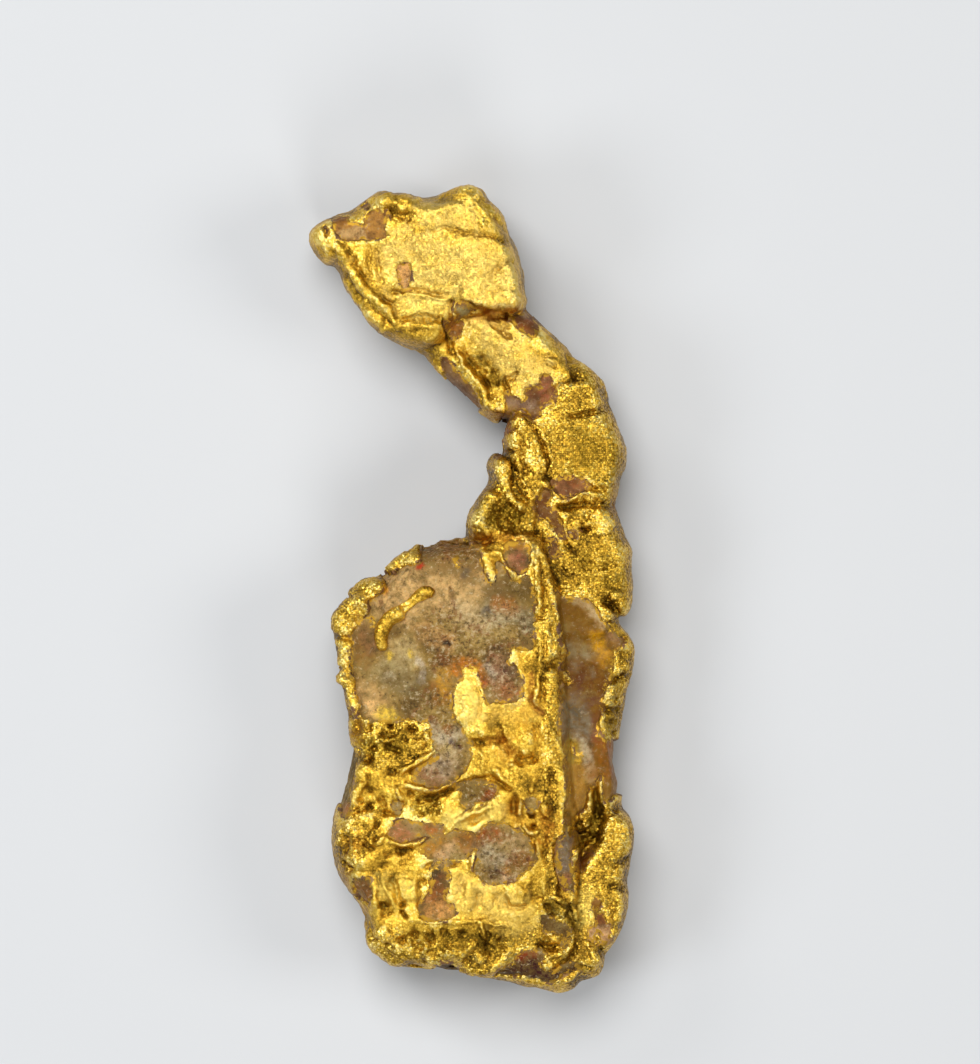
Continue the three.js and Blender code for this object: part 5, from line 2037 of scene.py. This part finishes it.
QUARTZ_STAINS = stains("""
# the broad face: cream, grey and clay
#bd9b68 1.4 .78 395,590 430,580 465,580
#6f5634 .8 .7 430,554 455,558 470,562
#b9a37c .5 .4 465,610 480,620 500,615
#8d8468 .5 .5 490,608 530,620
#5c4c30 .5 .65 492,592 510,588 525,592
#a1683a .32 .6 497,603 510,604
#57504a .2 .75 487,609
#5a534c .14 .6 466,570 464,574
#bda878 .45 .4 405,645 410,655
#8f8464 .5 .4 400,668 385,672 410,680
#b8ac8c .16 .4 386,672 392,674
#cfc3ae .12 .5 418,660 424,668 423,680
#bb9566 .5 .4 365,690 380,700
#d8ae72 .4 .5 372,706
#d9b64a .3 .65 384,710 390,716
#7b5a38 .5 .5 362,640 366,655
#8a6a4c .4 .5 365,632 372,645
#b48c5c .5 .5 428,632 445,640
#6c4826 .26 .65 441,657 446,660
#6b5a42 .5 .45 405,690 415,700
#5d4c36 .3 .5 411,703 418,697 428,672
#8a5a34 .2 .5 434,684 437,702
#b8702a .36 .7 456,668 476,668 481,678
#9a4a1a .16 .7 472,670 481,680
#b8863a .36 .45 444,674 450,694
#96725c .6 .5 500,665 505,685
#a0643a .3 .5 503,690 512,690
#b3a58c .2 .5 487,665 492,672
#2a2018 .11 .95 446,642 449,643
#4a3a2c .09 .7 501,646
#4a3a2c .09 .7 505,669
#4a3a2c .09 .7 513,679
#4a3a2c .09 .6 440,617 441,621
#b5401c .09 .8 419,566 423,564
#d6b24a .1 .8 412,653
#d6b24a .09 .75 389,652 391,658
#d6b24a .12 .6 374,618 376,624
#5e3c24 .045 .6 448,586 453,598 455,610
#5e3c24 .045 .6 382,600 384,607 386,612
#c8862a .14 .75 384,588 386,591
#8a6136 .3 .5 440,545 465,548
#b07a2c .24 .6 478,543 500,545 524,543
#94604c .3 .6 517,556 518,566
# its tongue below
#4a2a22 .13 .95 450,738 455,742 459,747
#b3a78f .3 .45 433,728 440,735 456,732
#a8643c .24 .5 448,727
#b09a80 .5 .4 435,770 450,760
#8a6048 .3 .5 424,772 435,780
#6a5a48 .24 .5 443,763 430,752
# the lower windows
#6a5638 .5 .6 470,790 480,793
#8f4e22 .24 .6 484,797 495,790
#a86c4e .4 .6 398,828 406,832
#8c7458 .24 .5 412,826
#a8613c .24 .6 430,826 438,828
#a8742e .5 .55 428,846 440,842
#bfa076 .36 .6 448,846 442,855
#8c5c34 .4 .5 466,838 480,836
#8c4f20 .3 .6 486,830 500,834
#a08660 .4 .5 510,836 520,842
#a3967c .5 .5 488,850 500,860
#7d5030 .34 .6 515,860 526,858
#a8742c .24 .6 505,868
#4c3826 .22 .7 491,872 498,872
#c0a284 .24 .5 506,878 514,876
#8d5a3c .5 .55 438,885 432,900
#c69258 .4 .65 434,908 446,906
#80523a .4 .5 362,885 366,895
#8f7f66 .2 .5 360,892
#564430 .5 .7 550,922 560,926
#463420 .8 .75 520,962 545,968 565,970
#8a4a22 .2 .6 516,954 534,950
#453a34 .5 .7 444,968 454,968
#5c4e34 .7 .85 350,755 348,775 345,795
#b07450 .24 .5 347,808
# head, neck and column
#a67a46 .5 .85 344,230 360,232 377,222 378,232
#c2a270 .2 .6 345,235 358,233 364,238
#7c5430 .24 .6 342,222
#d6a264 .4 .9 405,270 406,286
#9c9468 .2 .6 460,311 466,314
#a66e38 .4 .7 455,328
#a08a70 .2 .6 526,316
#84543c .4 .6 525,326
#7e6650 .3 .6 448,368 460,384 472,396
#96604a .3 .6 546,382 545,395
#8a7464 .3 .6 512,402 530,406
#6b4a3a .2 .6 527,392 533,396
#8c5a2c .24 .7 503,425 503,445
#98684a .4 .5 560,488 578,485
#7c4e30 .24 .6 572,482
#6c4c2c .36 .8 543,502 548,515 556,526
# the seam
#7a5a34 .7 .6 572,610 575,632
#c08e34 .32 .7 596,638 603,658
#b89e74 .2 .75 562,593 578,600 592,611 602,624
#98785c .24 .5 610,636 618,638
#8f8264 .35 .55 572,650 585,652
#a8a07c .1 .6 574,664 576,672
#a8a07c .1 .6 590,670 591,676
#6b4a18 .8 .7 582,678 592,695
#857a66 .7 .65 570,712 580,725
#574e42 .2 .5 570,705 577,716
#7a4a1e .24 .6 596,715 596,735
#bfa23e .3 .6 571,745 577,756
#bfae8c .24 .6 584,745 586,762
#b28848 .4 .6 577,772 578,790 574,805
#b89a70 .24 .55 588,768 592,778
#8e6028 .6 .8 605,750 608,770
#8a6a3c .4 .55 612,785 610,792
#85502a .2 .5 595,738 602,738
# the heel
#7a7068 .3 .6 565,842 562,862
#94684e .24 .6 566,875
#7a4a24 .24 .6 584,855 580,864
#7c4a28 .2 .6 597,900
#8f5a3c .24 .6 600,918
#c49c70 .34 .75 592,932 606,932
""")


# ------------ the studio ------------


@dataclass(frozen=True)
class Studio:
    """A pale floor, soft lights and a camera that looks straight down on the nugget."""

    centre_mm: tuple[float, float] = (0.74, 2.32)
    frame_height_mm: float = 42.56
    level_mm: float = 3.4
    lens_mm: float = 200.0
    sensor_mm: float = 36.0
    floor_mm: float = 800.0
    paper: str = "#c9ccd0"
    aim: tuple[float, float, float] = (0.0, 0.0, 0.003)
    dim: tuple[float, float, float, float] = (0.03, 0.035, 0.04, 1.0)
    # each soft box: its name, place and width in metres, its power in watts and its tint
    boxes: tuple = (
        ("key", (-0.03, 0.08, 0.22), 0.14, 0.41, (1.0, 0.98, 0.95)),
        ("fill", (-0.15, -0.05, 0.13), 0.08, 0.12, (0.96, 0.98, 1.0)),
        ("rim", (0.15, 0.0, 0.12), 0.08, 0.12, (1.0, 0.97, 0.92)),
        ("foot", (0.02, -0.15, 0.13), 0.08, 0.11, (1.0, 0.98, 0.95)),
        ("crown", (-0.12, 0.12, 0.12), 0.07, 0.08, (1.0, 0.98, 0.95)),
    )

    def build(self) -> None:
        """Sets the floor, the lights, the world and the camera."""
        self.floor()
        self.lights()
        self.camera()

    def floor(self) -> None:
        """A plain pale floor at the level that the nugget rests on."""
        half = self.floor_mm / 2 * MILLIMETRE
        corners = np.array([(-half, -half, 0), (half, -half, 0), (half, half, 0), (-half, half, 0)])
        floor = mesh_of("floor", Surface(corners, np.array([[0, 1, 2, 3]])))
        made = bpy.data.materials.new("pale_paper")
        made.use_nodes = True
        shader = made.node_tree.nodes["Principled BSDF"]
        shader.inputs["Base Color"].default_value = colour(self.paper)
        shader.inputs["Roughness"].default_value = 0.8
        floor.data.materials.append(made)
        floor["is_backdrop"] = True

    def lights(self) -> None:
        """A dim world and five soft boxes: a broad key over the head, and small ones low round the nugget."""
        world = bpy.data.worlds.new("studio")
        world.use_nodes = True
        world.node_tree.nodes["Background"].inputs["Color"].default_value = self.dim
        bpy.context.scene.world = world
        bpy.context.scene.view_settings.view_transform = "Standard"
        for name, where, size, power, tone in self.boxes:
            light = bpy.data.lights.new(name, "AREA")
            light.shape = "DISK"
            light.size = size
            light.energy = power
            light.color = tone
            lamp = bpy.data.objects.new(name, light)
            lamp.location = where
            aim = np.array(self.aim) - np.array(where)
            yaw, pitch = np.arctan2(aim[1], aim[0]), np.arccos(aim[2] / np.linalg.norm(aim))
            lamp.rotation_euler = (0.0, np.pi - pitch, yaw + np.pi)
            bpy.context.scene.collection.objects.link(lamp)

    def camera(self) -> None:
        """The camera: its height gives the frame the stated height at the nugget's middle level."""
        lens = bpy.data.cameras.new("camera")
        lens.lens = self.lens_mm
        lens.sensor_fit = "VERTICAL"
        lens.sensor_height = self.sensor_mm
        lens.clip_start = 0.001
        away = self.frame_height_mm * self.lens_mm / self.sensor_mm
        camera = bpy.data.objects.new("camera", lens)
        camera.location = np.array([*self.centre_mm, self.level_mm + away]) * MILLIMETRE
        bpy.context.scene.collection.objects.link(camera)
        bpy.context.scene.camera = camera


# ------------ the whole ------------


def finish_piece(piece: Piece, finish: Finish, nodes: list[str]) -> None:
    """Smooths a piece's shading, gives it its finish and ties it to the frame.

    Args:
        piece: the finished object.
        finish: its material.
        nodes: the frame's nodes that it stands for.
    """
    piece.data.polygons.foreach_set("use_smooth", np.ones(len(piece.data.polygons), bool))
    piece.data.materials.clear()
    piece.data.materials.append(finish)
    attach(piece, "root")
    if nodes:
        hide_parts(*nodes)
    LOG.info("%s: %d vertices", piece.name, len(piece.data.vertices))


def worked_face(sheet: Sheet) -> Face:
    """The nugget's face with its lobes, relief, windows, spongy places, and stains, which on the gold
    include painted highlights and painted shade.

    Args:
        sheet: the drawing sheet.

    Returns:
        The finished face.
    """
    face = Face(sheet, GradientNoise(SEED))
    for lobe in LOBES:
        face.raise_lobe(lobe)
    for group in (HEAD_RELIEF, NECK_RELIEF, COLUMN_RELIEF, VEIN_RELIEF, BODY_RELIEF, HEEL_RELIEF):
        for stroke in group:
            face.press(face.gold, stroke)
    for stroke in QUARTZ_RELIEF:
        face.press(face.quartz, stroke)
    for group in (BODY_WINDOWS, [HONEY_WINDOW], HEAD_WINDOWS, NECK_WINDOWS, COLUMN_WINDOWS, HEEL_WINDOWS):
        for outline in group:
            face.open_window(outline)
    for outline in GOLD_PATCHES:
        face.close_window(outline)
    for lobe, grain in LOBE_GRAIN:
        face.roughen(face.grain, lobe.outline, grain)
    for outline in SPONGE:
        face.roughen(face.grain, outline, 1.0)
    for outline in PITTED_QUARTZ:
        face.roughen(face.pits, outline, 1.0)
    # the gold's coat: real stains, and painted highlights and painted shade
    for stain in GOLD_STAINS_AND_PAINTED_LIGHT:
        face.stain(face.gold_coat, stain)
    for stain in QUARTZ_STAINS:
        face.stain(face.quartz_coat, stain, QUARTZ_GLOSS)
    LOG.info("face: %d by %d places", *face.level.shape)
    return face


def main() -> None:
    """Builds the nugget and the studio round the frame."""
    logging.basicConfig(level=logging.INFO, format="%(message)s")
    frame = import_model()
    low, high = (np.array(corner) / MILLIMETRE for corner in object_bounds())
    face = worked_face(Sheet(tuple(low[:2]), tuple(high[:2])))
    gold_finish = NativeGold().material()
    rosy_finish = ROSY_QUARTZ.material()

    finish_piece(GoldMass().build(face), gold_finish, ["native_gold"])
    finish_piece(HookedWire().build(face), gold_finish, ["gold_wire"])
    milky = QuartzMass("milky_quartz_mass", BODY, voxel=0.09, inset=0.14, swell=0.05, facets=0.03)
    finish_piece(milky.build(face), MILKY_QUARTZ.material(), ["milky_quartz"])
    honey = QuartzMass("honey_quartz_seam", SEAM_SIDE, voxel=0.08, inset=0.2, swell=0.08, facets=0.012)
    finish_piece(honey.build(face), HONEY_QUARTZ.material(), ["honey_quartz"])
    for name, outlines, nodes in [
        ("head_quartz_grain", HEAD_WINDOWS[:1], ["head_quartz"]),
        ("neck_quartz_grain", NECK_WINDOWS[:1], ["neck_quartz"]),
        ("column_quartz_grain", COLUMN_WINDOWS[:1], ["column_quartz"]),
        ("small_quartz_grains", HEAD_WINDOWS[1:] + NECK_WINDOWS[1:] + COLUMN_WINDOWS[1:] + HEEL_WINDOWS, []),
    ]:
        finish_piece(QuartzFlecks(name, outlines).build(face), rosy_finish, nodes)
    Studio().build()

    LOG.info("nodes in the frame: %d", len(frame["nodes"]))


if __name__ == "__main__":
    main()
